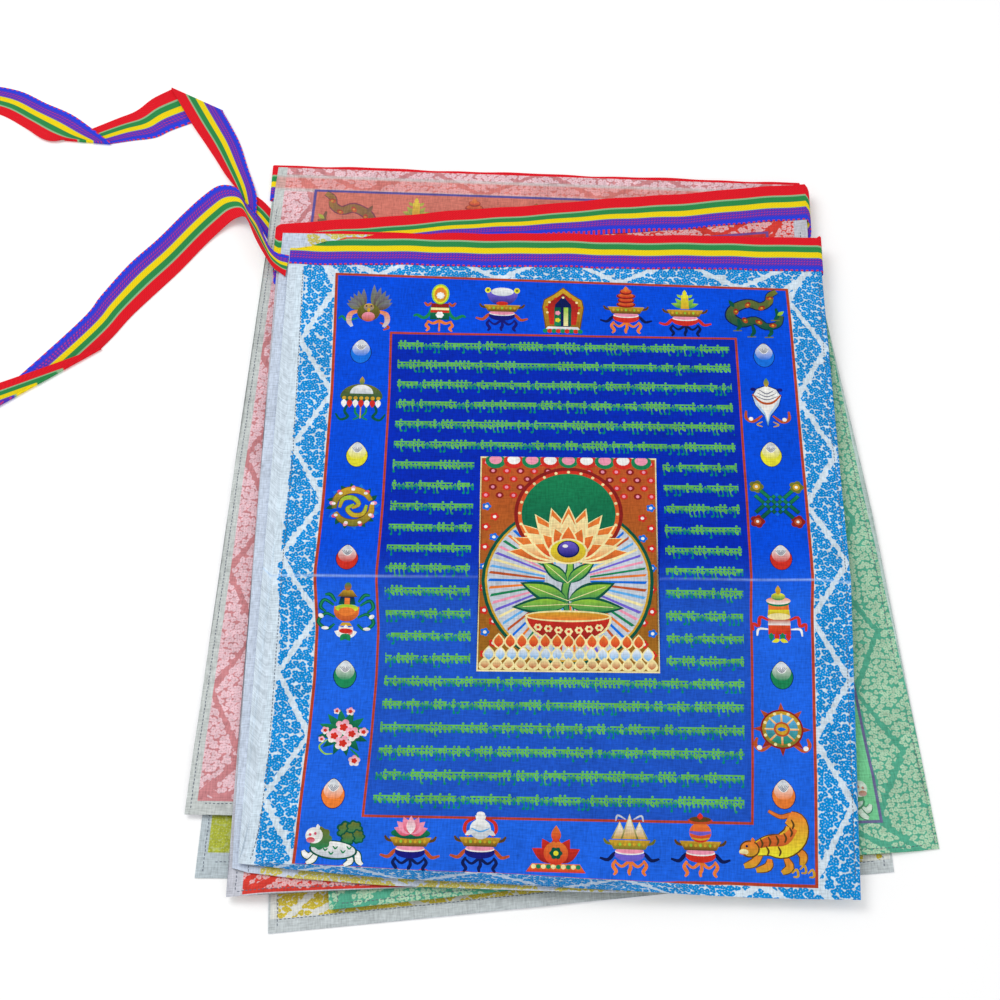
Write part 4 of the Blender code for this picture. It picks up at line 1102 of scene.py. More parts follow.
def maneLion():  # a white walking beast with a green curled mane and tail
    p = paints
    shapes = []
    for x, y, radius in ((6, 7, 5.2), (10, 8, 4.6), (12, 4, 4.0), (7, 3, 4.0)):
        shapes += [(blossom(x, y, radius, 7, 0.24, 30), p["deepLeaf"], None), (blossom(x, y, radius * 0.78, 7, 0.3, 30), p["leaf"], p["olive"])]
    for leg in ([(-9, -4), (-12, -7), (-14, -6), (-15, -4)], [(-8, -5), (-10, -9), (-13, -11)], [(8, -4), (12, -5), (13, -9), (15, -11)], [(7, -5), (9, -9), (6, -11.6)]):
        shapes += [(band(leg, 4.2), p["deepLeaf"], None), (band(leg, 3.0), p["white"], None)]
    shapes += [(oval(0, -3.4, 12.2, 5.2, 24, -4), p["deepLeaf"], None), (oval(0, -3.2, 11.2, 4.4, 24, -4), p["pearl"], p["white"])]
    for x, y in ((-4, -3), (1, -2), (5, -4), (-1, -5), (8, -2)):
        shapes.append((band([(x - 1.2, y + 0.8), (x, y - 0.6), (x + 1.2, y + 0.6)], 0.9), p["leaf"], None))
    shapes += [(blossom(-7, 2.6, 6.2, 8, 0.22, 34), p["leaf"], p["olive"]), (oval(-10, 4, 4.4, 4.2), p["white"], None), (oval(-11.6, 1.6, 2.2, 1.5), p["pink"], p["red"]),
               (oval(-12, 4.4, 0.7, 0.8, 8), p["rose"], None), (oval(-9.4, 5, 0.7, 0.8, 8), p["rose"], None), (petal(-8, 7, 3, 2, 100), p["white"], None)]
    return shapes


def stripedCat():  # an orange beast turned on its haunches, striped, tail raised
    p = paints
    tail = [(10, 3), (15, 6), (15, 12), (10, 15), (4, 14), (-2, 17)]
    shapes = [(band(tail, 3.4), p["brown"], None), (band(tail, 2.4), p["rust"], p["orange"])]
    for leg in ([(-6, -5), (-10, -10), (-15, -12)], [(-2, -8), (-3, -12), (-9, -14)], [(6, -7), (8, -12), (4, -15)], [(11, -2), (15, -6), (14, -11)]):
        shapes += [(band(leg, 5.0), p["brown"], None), (band(leg, 3.8), p["gold"], p["orange"])]
    back = [(-9, -3), (-2, -1), (5, -1), (11, 4), (12, 11), (8, 14)]
    shapes += [(band(back, 14.0), p["brown"], None), (band(back, 12.4), p["yellow"], p["orange"]), (band([(-8, -1), (-1, 1.4), (6, 2.4), (11, 8)], 6.0), p["rust"], p["orange"])]
    for k in range(8):
        x, y = ((-6, 0), (-2, 1), (2, 1.6), (6, 3), (9, 6), (10, 10), (3, -4), (-3, -4))[k]
        shapes.append((band([(x - 0.6, y + 2.6), (x + 0.6, y), (x - 0.2, y - 2.4)], 1.1), p["brown"], None))
    shapes += [(oval(-12, -3, 5.2, 4.6, 18), p["brown"], None), (oval(-12, -3, 4.4, 3.8, 18), p["gold"], p["orange"]), (oval(-15, -4.6, 2.4, 1.6, 12), p["cream"], None),
               (oval(-13.4, -1.6, 0.7, 0.7, 8), p["night"], None), (petal(-10, 0, 3, 2.2, 100), p["orange"], None), (band([(-17, -5.6), (-14, -6)], 0.8, 1), p["red"], None)]
    for x, y, turn in ((9, -15, 0), (13, -13, 60), (17, -15, 120)):
        shapes.append((band([(x, y), (x + 2.4, y + 2), (x + 3, y - 1.4), (x + 0.6, y - 1.8)], 1.3), p["gold"], None))
    return shapes


def lotusPicture():  # the middle panel: a jewelled lotus before rays, in a bordered arch
    p = paints
    halfX, halfY = 48.3, 65.9
    rect = corners((-halfX, -halfY), (halfX, -halfY), (halfX, halfY), (-halfX, halfY))
    shapes = [(rect, p["cream"], None), (rect * 0.985, p["deepGold"], p["rust"])]
    for row in range(5):  # a dotted brocade over the upper corners
        for k in range(13):
            x, y = -45 + k * 7.5 + (row % 2) * 3.7, 62 - row * 5.2
            if abs(x) < 46.4:
                shapes += [(oval(x, y, 2.3, 2.0, 10), p["deepRed"] if (k + row) % 2 else p["red"], None), (oval(x, y, 1.0, 1.0, 8), p["pink"], None)]
    for k in range(15):  # blossoms on the gold ground at both sides
        for side in (-1, 1):
            x, y = side * (44.4 - (k % 2) * 4.6), 34 - k * 6.4
            shapes += [(blossom(x, y, 2.6, 5, 0.3, 20), p["red"] if k % 3 else p["azure"], None), (oval(x, y, 1.0, 1.0, 8), p["white"], None)]
    shapes += [(oval(0, -13, 45.4, 49, 48), p["deepLeaf"], None), (oval(0, -13, 43.6, 47.2, 48), p["gold"], None), (oval(0, -13, 42.4, 46, 48), p["pearl"], None)]
    tones = ("azure", "orange", "leaf", "pink", "violet", "cream", "sky", "rust")
    for k in range(64):
        angle, wide = math.radians(k * 360 / 64), math.radians(2.2)
        ray = [(math.cos(angle - wide) * 12, math.sin(angle - wide) * 13 - 13), (math.cos(angle - wide * 0.7) * 41, math.sin(angle - wide * 0.7) * 44.6 - 13),
               (math.cos(angle + wide * 0.2) * 42, math.sin(angle + wide * 0.2) * 45.4 - 13), (math.cos(angle + wide) * 12, math.sin(angle + wide) * 13 - 13)]
        shapes.append((corners(*ray), p[tones[k % 8]], None))
    shapes += [(oval(0, 30, 29.4, 29.4, 40), p["deepRed"], None), (oval(0, 30, 27.4, 27.4, 40), p["orange"], p["red"]), (oval(0, 30, 25.4, 25.4, 40), p["deepLeaf"], p["leaf"])]
    for k in range(24):
        x, y = 26.4 * math.cos(math.radians(k * 15)), 30 + 26.4 * math.sin(math.radians(k * 15))
        shapes.append((oval(x, y, 0.9, 0.9, 8), p["cream"], None))
    for k in range(9):  # scalloped valance along the top
        x = -40 + k * 10
        shapes += [(oval(x, 64 - abs(k - 4) * 0.2, 5.6, 5.0, 16), p["red"] if k % 2 else p["leaf"], None), (oval(x, 64, 3.6, 3.0, 14), p["white"] if k % 2 else p["pink"], None)]
    shapes = [(np.clip(outline, (-halfX, -halfY), (halfX, halfY)), low, high) for outline, low, high in shapes]
    stem = [(0, -34), (-1.6, -20), (1.2, -6), (0, 6)]
    shapes += [(band(stem, 4.6), p["deepLeaf"], None), (band(stem, 3.0), p["leaf"], p["lime"])]
    for side in (-1, 1):  # broad leaves and curling scrolls
        for x, y, length, width, turn in ((0, -24, 27, 11, 22), (0, -26, 30, 10, -4), (0, -14, 20, 8, 44)):
            turned = turn if side > 0 else 180 - turn
            shapes += [(petal(x, y, length, width, turned), p["deepLeaf"], None), (petal(x, y, length * 0.92, width * 0.74, turned), p["leaf"], p["lime"]),
                       (band([(0, y), (side * length * 0.8 * math.cos(math.radians(turn)), y + length * 0.8 * math.sin(math.radians(turn)))], 0.7, 1), p["cream"], None)]
    for tier, (count, length, width, low, high) in enumerate(((11, 33, 11, "rust", "orange"), (9, 28, 11, "orange", "cream"), (7, 21, 10, "red", "orange"))):
        for k in sorted(range(count), key=lambda n: -abs(n - (count - 1) / 2)):
            turn = 90 + (k - (count - 1) / 2) * (168 - tier * 18) / (count - 1)
            shapes += [(petal(0, 2, length, width, turn), p["cream"], None), (petal(0, 2.4, length - 1.6, width - 1.8, turn), p[low], p[high])]
    shapes += [(oval(0, 6, 10.4, 8.4, 26), p["cream"], None), (oval(0, 6, 9.4, 7.4, 26), p["gold"], p["yellow"]), (oval(0, 7.4, 6.0, 5.6, 22), p["night"], None),
               (oval(0, 7.6, 5.2, 4.8, 22), p["navy"], p["violet"]), (oval(-1.6, 9.4, 1.5, 1.1, 10), p["white"], None)]
    bowl = np.vstack([oval(0, -33, 22, 15, 30)[15:], corners((22, -33))])
    shapes += [(bowl * (1.05, 1.0) + (0, -0.8), p["cream"], None), (bowl, p["deepRed"], p["red"]), (oval(0, -33, 23, 3.4, 30), p["cream"], None), (oval(0, -33, 21.6, 2.4, 30), p["orange"], p["gold"])]
    for k in range(7):
        x = -16.2 + k * 5.4
        shapes += [(blossom(x, -39.6 - (3 - abs(k - 3)) * 0.8, 2.3, 6, 0.3, 20), p["cream"], None), (oval(x, -39.6 - (3 - abs(k - 3)) * 0.8, 0.9, 0.9, 8), p["red"], None)]
    for tier, (y, count, span, low, high) in enumerate(((-49, 13, 37, "red", "orange"), (-56.5, 15, 42, "sky", "white"), (-63, 15, 44, "rust", "cream"))):
        for k in range(count):
            x = -span + k * 2 * span / (count - 1)
            outline = np.clip(petal(x, y - 3.6, 9.4, 6.6, 90), (-47.4, -64.8), (47.4, 66))
            shapes += [(outline, p["cream"], None), (petal(x, y - 2.6, 7.4, 4.8, 90) if y > -60 else np.clip(petal(x, y - 1, 5.4, 4.4, 90), (-47, -64.6), (47, 66)), p[low], p[high])]
    return shapes


def placed(shapes, x, y, size=1.0):
    return [(outline * size + (x, y), low, high) for outline, low, high in shapes]


def printMotifs():  # all of a sheet's motifs, placed as they lie on the top flag
    top = ((wingedBird, -112.6, 161.0), (discOffering, -71.6, 160.3), (bowlOffering, -35.8, 161.5), (shrine, -0.6, 161.2), (towerOffering, 35.8, 162.4),
           (sproutOffering, 69.9, 161.4), (serpent, 110.4, 161.6))
    bottom = ((maneLion, -113.7, -167.4), (lotusOffering, -75.1, -165.4), (vaseOffering, -40.0, -164.6), (crownJewel, -1.7, -166.0), (moundOffering, 35.4, -164.0),
              (potOffering, 71.2, -163.6), (stripedCat, 108.0, -161.5))
    left = ((parasol, -113.7, 97.0), (fishRing, -114.5, 27.1), (treasureVase, -114.1, -36.0), (flowerBunch, -112.1, -108.5))
    right = ((conch, 114.9, 102.0), (knot, 117.8, 35.5), (banner, 116.0, -32.3), (wheel, 114.8, -99.2))
    shapes = []
    for draw, x, y in top + bottom + left + right:
        shapes += placed(draw(), x, y)
    drops = (("azure", -115.5, 129.0), ("yellow", -114.1, 60.4), ("red", -115.9, -5.3), ("leaf", -113.1, -74.3), ("orange", -115.4, -141.2),
             ("azure", 114.4, 133.7), ("yellow", 115.8, 67.6), ("red", 118.5, 1.8), ("leaf", 116.1, -68.2), ("orange", 114.2, -135.3))
    for colour, x, y in drops:
        shapes += placed(jewelDrop(colour), x, y)
    shapes = [(outline - topShift(outline), low, high) for outline, low, high in shapes]
    return shapes + placed(lotusPicture(), 1.9, -3.9)


sheets, fields = [], {}
sheetMotifs = printMotifs()
printShapes = {number: sheetMotifs if number in (1, 4, 8) else [] for number in flagSpecs}
for number in sorted(flagSpecs, reverse=True):
    buildCloth(number, printShapes[number])
print("stage: flags laid")

# Hem stitches: rows of points a little above the cloth, each row filled by a node group.
hemStitch = {"pitch": 2.1, "length": 1.15, "width": 0.34, "height": 0.22, "seed": 4, "jitter": 0.12, "lift": 0.1,
             "side": 4.4, "front": 5.0, "rowStep": 6.0, "thread": ink(104, 112, 128)}
stitchRows = {  # each flag's rows: inset from its left, right and front cut, where it has one
    1: (5.2, 2.2, None), 2: (8.3, 4.4, None), 3: (4.4, 4.4, 2.4), 4: (4.4, 1.4, 2.6), 5: (4.4, 4.4, 5.0),
    6: (4.4, 4.4, 5.0), 7: (4.4, 4.4, 6.6), 8: (2.6, 4.4, 6.0), 9: (4.4, 4.4, 5.0), 10: (3.6, 4.4, 8.6),
}


def stitchTree():
    look = hemStitch
    tree = bpy.data.node_groups.new("hem_stitches", "GeometryNodeTree")
    tree.interface.new_socket(name="Rows", in_out="INPUT", socket_type="NodeSocketGeometry")
    for label, key in (("Pitch", "pitch"), ("Length", "length"), ("Width", "width"), ("Height", "height"), ("Jitter", "jitter")):
        socket = tree.interface.new_socket(name=label, in_out="INPUT", socket_type=floatSocket)
        socket.default_value = look[key] * origin["mm"]
    seed = tree.interface.new_socket(name="Seed", in_out="INPUT", socket_type="NodeSocketInt")
    seed.default_value = look["seed"]
    tree.interface.new_socket(name="Thread", in_out="INPUT", socket_type="NodeSocketMaterial")
    tree.interface.new_socket(name="Stitches", in_out="OUTPUT", socket_type="NodeSocketGeometry")
    given, result = tree.nodes.new("NodeGroupInput"), tree.nodes.new("NodeGroupOutput")
    curve = tree.nodes.new("GeometryNodeMeshToCurve")
    spaced = tree.nodes.new("GeometryNodeResampleCurve")
    spaced.mode = "LENGTH"
    dots = tree.nodes.new("GeometryNodeCurveToPoints")
    dots.mode = "EVALUATED"
    size = tree.nodes.new("ShaderNodeCombineXYZ")
    block = tree.nodes.new("GeometryNodeMeshCube")
    turn = tree.nodes.new("FunctionNodeAlignEulerToVector")
    turn.axis = "X"
    tangent = tree.nodes.new("GeometryNodeInputTangent")
    held = tree.nodes.new("GeometryNodeCaptureAttribute")
    held.capture_items.new("VECTOR", "Way")
    put = tree.nodes.new("GeometryNodeInstanceOnPoints")
    stray = tree.nodes.new("FunctionNodeRandomValue")
    stray.data_type = "FLOAT_VECTOR"
    low = tree.nodes.new("ShaderNodeVectorMath")
    low.operation = "SCALE"
    low.inputs[0].default_value = (-1.0, -1.0, 0.0)
    high = tree.nodes.new("ShaderNodeVectorMath")
    high.operation = "SCALE"
    high.inputs[0].default_value = (1.0, 1.0, 0.0)
    shift = tree.nodes.new("GeometryNodeSetPosition")
    real = tree.nodes.new("GeometryNodeRealizeInstances")
    dye = tree.nodes.new("GeometryNodeSetMaterial")
    link = tree.links.new
    link(given.outputs["Rows"], curve.inputs["Mesh"])
    link(curve.outputs["Curve"], spaced.inputs["Curve"])
    link(given.outputs["Pitch"], spaced.inputs["Length"])
    link(spaced.outputs["Curve"], held.inputs["Geometry"])
    link(tangent.outputs["Tangent"], held.inputs["Way"])
    link(held.outputs["Geometry"], dots.inputs["Curve"])
    link(given.outputs["Length"], size.inputs["X"])
    link(given.outputs["Width"], size.inputs["Y"])
    link(given.outputs["Height"], size.inputs["Z"])
    link(size.outputs["Vector"], block.inputs["Size"])
    link(held.outputs["Way"], turn.inputs["Vector"])
    link(given.outputs["Jitter"], low.inputs["Scale"])
    link(given.outputs["Jitter"], high.inputs["Scale"])
    link(low.outputs[0], stray.inputs["Min"])
    link(high.outputs[0], stray.inputs["Max"])
    link(given.outputs["Seed"], stray.inputs["Seed"])
    link(dots.outputs["Points"], shift.inputs["Geometry"])
    link(stray.outputs["Value"], shift.inputs["Offset"])
    link(shift.outputs["Geometry"], put.inputs["Points"])
    link(block.outputs["Mesh"], put.inputs["Instance"])
    link(turn.outputs["Rotation"], put.inputs["Rotation"])
    link(put.outputs["Instances"], real.inputs["Geometry"])
    link(real.outputs["Geometry"], dye.inputs["Geometry"])
    link(given.outputs["Thread"], dye.inputs["Material"])
    link(dye.outputs["Geometry"], result.inputs["Stitches"])
    return tree


def stitchLines(number):
    cut = sheetCut
    cutBack, cutFront, slide = ownCut.get(number, (cut["back"], cut["front"], 0.0))
    leftIn, rightIn, frontIn = stitchRows[number]
    along = np.arange(cutFront + 4, cutBack - stack["tape"] - 3, hemStitch["rowStep"])
    if number == 1:
        ys = np.arange(-176, 186, hemStitch["rowStep"])
        left = np.stack([np.interp(ys, leftEdge["y"], leftEdge["x"]) + leftIn, ys], 1)
        outline = clothOutline(1)
        rightEdge = outline[outline[:, 0] > 140]
        order = np.argsort(rightEdge[:, 1])
        right = np.stack([np.interp(ys, rightEdge[order, 1], rightEdge[order, 0]) - rightIn, ys], 1)
        return [left, right]
    flip = -1 if number % 2 == 0 else 1
    lines = []
    for side, inset in ((-flip, leftIn), (flip, rightIn)):
        x = side * (cut["right"] - inset) + slide
        lines.append(printToFlag(number, np.stack([np.full(len(along), x), along], 1)))
    if frontIn is not None:
        across = np.arange(cut["left"] + 6, cut["right"] - 5, hemStitch["rowStep"])
        lines.append(printToFlag(number, np.stack([across, np.full(len(across), cutFront + frontIn)], 1)))
    return lines


def buildStitches(number, tree, thread):
    verts, edges = [], []
    for line in stitchLines(number):
        heights = clothHeight(number, fields[number], line, flagToPrint(number, line)) + hemStitch["lift"]
        first = len(verts)
        verts += place(np.column_stack([line, heights])).tolist()
        edges += [(first + k, first + k + 1) for k in range(len(line) - 1)]
    rows = bpy.data.meshes.new("stitch_rows")
    rows.from_pydata(verts, edges, [])
    holder = bpy.data.objects.new("stitch_rows", rows)
    bpy.context.scene.collection.objects.link(holder)
    modifier = holder.modifiers.new("stitches", "NODES")
    modifier.node_group = tree
    inputs = {item.name: item.identifier for item in tree.interface.items_tree if item.in_out == "INPUT"}
    modifier[inputs["Seed"]] = hemStitch["seed"] + number
    modifier[inputs["Thread"]] = thread
    made = bpy.data.meshes.new_from_object(holder.evaluated_get(bpy.context.evaluated_depsgraph_get()))
    holder.modifiers.remove(modifier)
    bpy.data.objects.remove(holder)
    made.name = f"flag_{number:02d}_stitches"
    piece = bpy.data.objects.new(made.name, made)
    bpy.context.scene.collection.objects.link(piece)
    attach(piece, "root")


def threadMaterial():
    material = bpy.data.materials.new("hem_thread")
    material.use_nodes = True
    shader = material.node_tree.nodes["Principled BSDF"]
    shader.inputs["Base Color"].default_value = (*hemStitch["thread"], 1.0)
    shader.inputs["Roughness"].default_value = 0.8
    return material


stitchNodes, stitchThread = stitchTree(), threadMaterial()
for number in flagSpecs:
    buildStitches(number, stitchNodes, stitchThread)
print("stage: hems stitched")

tapeWeave = {
    "red": ink(238, 18, 36), "green": ink(44, 146, 78), "yellow": ink(255, 226, 8), "violet": ink(84, 56, 200),
    "blue": ink(40, 66, 232), "pale": ink(150, 196, 150), "redThread": ink(224, 50, 84),
    "ends": (0.285, 0.33, 0.48, 0.63, 0.645, 0.87), "twill": 1.7, "roughness": 0.7,
}


def tapeMaterial():
    look = tapeWeave
    material = bpy.data.materials.new("striped_tape")
    material.use_nodes = True
    tree = material.node_tree
    shader = tree.nodes["Principled BSDF"]
    uv = tree.nodes.new("ShaderNodeUVMap")
    uv.uv_map = "tape"
    split = tree.nodes.new("ShaderNodeSeparateXYZ")
    tree.links.new(uv.outputs["UV"], split.inputs[0])
    across, along = split.outputs["X"], calc(tree, "MULTIPLY", split.outputs["Y"], 1000.0)
    ends = look["ends"]
    colour = look["red"]
    for edge, name in zip(ends, ("pale", "green", "yellow", "pale", "violet", "blue")):
        colour = blendColour(tree, stepUp(tree, across, edge, 0.008), colour, look[name])
    slant = calc(tree, "MULTIPLY_ADD", across, 26.0, along)
    dash = calc(tree, "SINE", calc(tree, "MULTIPLY", slant, 2 * math.pi / look["twill"]))
    rib = calc(tree, "SINE", calc(tree, "MULTIPLY", along, 2 * math.pi / 0.9))
    inViolet = calc(tree, "MULTIPLY", calc(tree, "GREATER_THAN", across, ends[4] + 0.02),
                    calc(tree, "LESS_THAN", across, ends[5] - 0.03))
    stripe = calc(tree, "SINE", calc(tree, "MULTIPLY", across, 2 * math.pi / 0.072))
    dashes = chain(tree, "MULTIPLY", [inViolet, stepUp(tree, dash, 0.1, 0.3), stepUp(tree, stripe, 0.2, 0.3)])
    colour = blendColour(tree, calc(tree, "MULTIPLY", dashes, 0.75), colour, look["redThread"])
    selvedge = calc(tree, "MULTIPLY", calc(tree, "GREATER_THAN", across, 0.965),
                    stepUp(tree, calc(tree, "SINE", calc(tree, "MULTIPLY", along, 2 * math.pi / 3.0)), 0.0, 0.3))
    colour = blendColour(tree, selvedge, colour, look["redThread"])
    shadeValue = calc(tree, "MULTIPLY_ADD", dash, 0.07, calc(tree, "MULTIPLY_ADD", rib, 0.06, 0.97))
    shade = tree.nodes.new("ShaderNodeCombineColor")
    for socket in shade.inputs[:3]:
        tree.links.new(shadeValue, socket)
    colour = blendColour(tree, 1.0, colour, shade.outputs[0], "MULTIPLY")
    tree.links.new(colour, shader.inputs["Base Color"])
    bump = tree.nodes.new("ShaderNodeBump")
    bump.inputs["Strength"].default_value = 0.5
    bump.inputs["Distance"].default_value = 0.0004
    tree.links.new(calc(tree, "ADD", calc(tree, "MULTIPLY", dash, 0.6), calc(tree, "MULTIPLY", rib, 0.4)), bump.inputs["Height"])
    tree.links.new(bump.outputs["Normal"], shader.inputs["Normal"])
    shader.inputs["Roughness"].default_value = look["roughness"]
    shader.inputs["Sheen Weight"].default_value = 0.05
    shader.inputs["Specular IOR Level"].default_value = 0.12
    return material


tapeLook = tapeMaterial()


def ribbonPiece(name, grid, across, thickness, material):
    # grid is rows of points along the ribbon, across gives each column's place from red to blue
    grid = np.array(grid, float)
    rows, columns = grid.shape[:2]
    down, over = np.gradient(grid, axis=0), np.gradient(grid, axis=1)
    normals = np.cross(over, down)
    normals /= np.linalg.norm(normals, axis=2, keepdims=True) + 1e-12
    upper, lower = grid + normals * thickness / 2, grid - normals * thickness / 2
    lower[..., 2] = np.maximum(lower[..., 2], 0.05)
    upper[..., 2] = np.maximum(upper[..., 2], 0.05)
    middle = grid.mean(axis=1)
    length = np.concatenate([[0], np.cumsum(np.linalg.norm(np.diff(middle, axis=0), axis=1))]) * origin["mm"]
    count = rows * columns
    faces = []
    for i in range(rows - 1):
        for j in range(columns - 1):
            a, b, c, d = i * columns + j, i * columns + j + 1, (i + 1) * columns + j + 1, (i + 1) * columns + j
            faces += [(a, b, c, d), (d + count, c + count, b + count, a + count)]
    ring = ([(0, j) for j in range(columns)] + [(i, columns - 1) for i in range(1, rows)]
            + [(rows - 1, j) for j in range(columns - 2, -1, -1)] + [(i, 0) for i in range(rows - 2, 0, -1)])
    ring = [i * columns + j for i, j in ring]
    for p, q in zip(ring, ring[1:] + ring[:1]):
        faces.append((q, p, p + count, q + count))
    mesh = bpy.data.meshes.new(name)
    mesh.from_pydata(place(np.vstack([upper.reshape(-1, 3), lower.reshape(-1, 3)])).tolist(), [], faces)
    layer = mesh.uv_layers.new(name="tape")
    corner = np.zeros(len(mesh.loops), np.int32)
    mesh.loops.foreach_get("vertex_index", corner)
    corner %= count
    shares = np.broadcast_to(np.array(across, float), (rows, columns)).reshape(-1)
    layer.uv.foreach_set("vector", np.stack([shares[corner], length[corner // columns]], 1).astype(np.float32).ravel())
    mesh.materials.append(material)
    mesh.polygons.foreach_set("use_smooth", np.ones(len(mesh.polygons), bool))
    mesh.update()
    mesh.set_sharp_from_angle(angle=math.radians(50))
    piece = bpy.data.objects.new(name, mesh)
    bpy.context.scene.collection.objects.link(piece)
    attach(piece, "root")
    return piece, float(length[-1])


header = {
    "turns": {1: 149.0, 2: -168.0, 3: 144.0, 4: -167.0, 5: 142.0, 6: -168.0, 7: 142.0, 8: -174.0, 9: 139.0},
    "freeLeft": {1: -160.7, 10: -172.3}, "foldAt": (-161, -150, -138, -112, -60, -30), "foldBy": (0.55, 0.5, 0.3, 0.16, 0.06, 0.03), "reach": 2.35,
    "step": 4.0, "columns": 13, "thickness": 0.5, "turnSteps": 5,
    "gathered": 3, "gatherAt": (-60.0, 70.0), "gatherBy": (0.5, 0.0), "gatherFrom": 0.30,
}


def headerRow(number, x):  # back and front edge of the tape at one x
    spec = flagSpecs[number]
    (x0, y0), (x1, y1) = spec["corners"][:2]
    back = y0 + (x - x0) * (y1 - y0) / (x1 - x0)
    return back, tapeFront(number, x)


def headerTape():
    grid, shares = [], []
    heading = 1
    columns = np.linspace(0, 1, header["columns"])
    for number in range(1, 11):
        ends = [header["turns"].get(number - 1), header["turns"].get(number)]
        ends = [header["freeLeft"][number] if end is None else end for end in ends]
        start, end = ends
        xs = np.linspace(start, end, int(abs(end - start) / header["step"]))
        level = (10 - number) * stack["pitch"]
        for x in xs:
            back, front = headerRow(number, x)
            lift = 0.07 * math.sin(x / 9.0 + number) + 0.05 * math.sin(x / 3.7)
            edge = 0.35 * math.sin(x / 14.0 + number * 2) + 0.2 * math.sin(x / 5.1 + number)
            z = level + (0.82 if number % 2 else 0.45) + lift
            fold = 0.03
            if number == 1:
                fold = float(np.interp(x, header["foldAt"], header["foldBy"]))
                under = np.clip((fold - columns) * 26, 0, None)
                y = back - np.abs(columns - fold) * 26 - fold * 26
                row = [(x, yy + edge, z - 0.6 * min(u, 1.0)) for yy, u in zip(y, under)]
            else:
                row = [(x, back + (front - back) * c + edge, z) for c in columns]
            grid.append(row)
            gather = 0.0
            if number == header["gathered"]:  # its far stripes are drawn together towards the left
                gather = float(np.interp(x, header["gatherAt"], header["gatherBy"]))
            past = np.clip(columns - header["gatherFrom"], 0.0, None)
            shares.append(np.minimum(columns + past * gather, 1.0))
        if number < 10:
            x = header["turns"][number]
            aboveY, belowY = headerRow(number, x), headerRow(number + 1, x)
            zTop = level + (0.82 if number % 2 else 0.45)
            zLow = level - stack["pitch"] + (0.45 if number % 2 else 0.82)
            for step in range(1, header["turnSteps"] + 1):
                share = step / (header["turnSteps"] + 1)
                angle = math.pi * share
                out = header["reach"] * math.sin(angle) ** 0.6
                z = (zTop + zLow) / 2 + (zTop - zLow) / 2 * math.cos(angle)
                ys = [a * (1 - share) + b * share for a, b in zip(aboveY, belowY)]
                grid.append([(x + heading * out, ys[0] + (ys[1] - ys[0]) * c, z) for c in columns])
                shares.append(columns)
        heading = -heading
    piece, length = ribbonPiece("header_tape_woven", grid, shares, header["thickness"], tapeLook)
    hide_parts("header_tape")
    sheets.append((piece, (0.026, round(length, 3)), "folded", "flag_10_cloth"))


headerTape()
print("stage: header tape folded")

# The two tie ends. A row holds the red edge's x, y, z and the blue edge's x, y, z; a
# stretch ends on a fold line, where the next one starts a layer higher or lower.
ties = {
    "thickness": 0.6, "columns": 9, "steps": 5, "turnSteps": 4,
    "tie_upper": [
        [(-172.6, 234, 0.5, -172.6, 209, 0.5), (-184, 246, 0.5, -180, 222, 0.5), (-198, 252, 0.5, -184, 233, 0.5)],
        [(-198, 252, 1.8, -184, 233, 1.8), (-205, 262, 1.8, -185, 247, 1.8), (-212, 274, 1.2, -192, 268, 1.2),
         (-220, 287, 1.0, -198, 286, 1.0), (-229, 301, 1.8, -205, 300, 1.8), (-244, 328, 1.8, -211, 311, 1.8)],
        [(-244, 328, 0.5, -211, 311, 0.5), (-255, 320, 0.5, -239, 297, 0.5), (-264, 310, 0.5, -250, 290, 0.5),
         (-276, 303, 0.5, -264, 287, 0.5), (-305, 286, 0.5, -277, 284, 0.5)],
        [(-305, 286, 1.8, -277, 284, 1.8), (-311, 284, 1.8, -289, 294, 1.8), (-319, 286, 1.6, -303, 305, 1.6),
         (-331, 295, 0.7, -320, 314, 0.7), (-348, 305, 0.5, -338, 323.5, 0.5), (-368, 308, 0.5, -362, 327, 0.5),
         (-388, 302, 0.5, -388, 321, 0.5)],
    ],
    "tie_lower": [
        [(-162.4, 180, 12.2, -161.1, 195, 12.2), (-164.4, 182, 12.2, -169, 197, 12.2), (-170, 186, 13.4, -174, 203, 12.2),
         (-176, 195, 15.0, -179, 216, 8.6), (-181, 204, 16.0, -184, 229, 5.4), (-185, 214, 14.0, -191, 239, 3.9),
         (-190, 225, 9.0, -197, 250, 3.8), (-197, 226, 4.6, -207, 252, 3.4), (-204, 220, 2.0, -216, 246, 1.6),
         (-213, 209, 0.8, -227, 233, 0.6), (-226, 190, 0.5, -241, 213, 0.5), (-239, 173, 0.5, -256, 194, 0.5),
         (-251, 157, 0.5, -270, 171, 0.5), (-259, 144, 0.5, -282, 150, 0.5), (-266, 134, 0.5, -336, 81, 0.5)],
        [(-266, 134, 1.8, -336, 81, 1.8), (-320, 108, 1.8, -344, 77, 1.8), (-345, 98, 1.6, -354, 73, 1.6),
         (-374, 87, 0.6, -364, 63, 0.6)],
    ],
}


def smoothRows(table):
    points = np.array(table, float)
    padded = np.vstack([2 * points[0] - points[1], points, 2 * points[-1] - points[-2]])
    rows = []
    for k in range(1, len(padded) - 2):
        before, here, ahead, after = padded[k - 1:k + 3]
        for t in np.arange(ties["steps"]) / ties["steps"]:
            rows.append(0.5 * (2 * here + (ahead - before) * t + (2 * before - 5 * here + 4 * ahead - after) * t ** 2
                               + (3 * here - before - 3 * ahead + after) * t ** 3))
    rows.append(points[-1])
    rows = np.array(rows)
    rows[:, [2, 5]] = np.maximum(rows[:, [2, 5]], 0.4)
    return rows


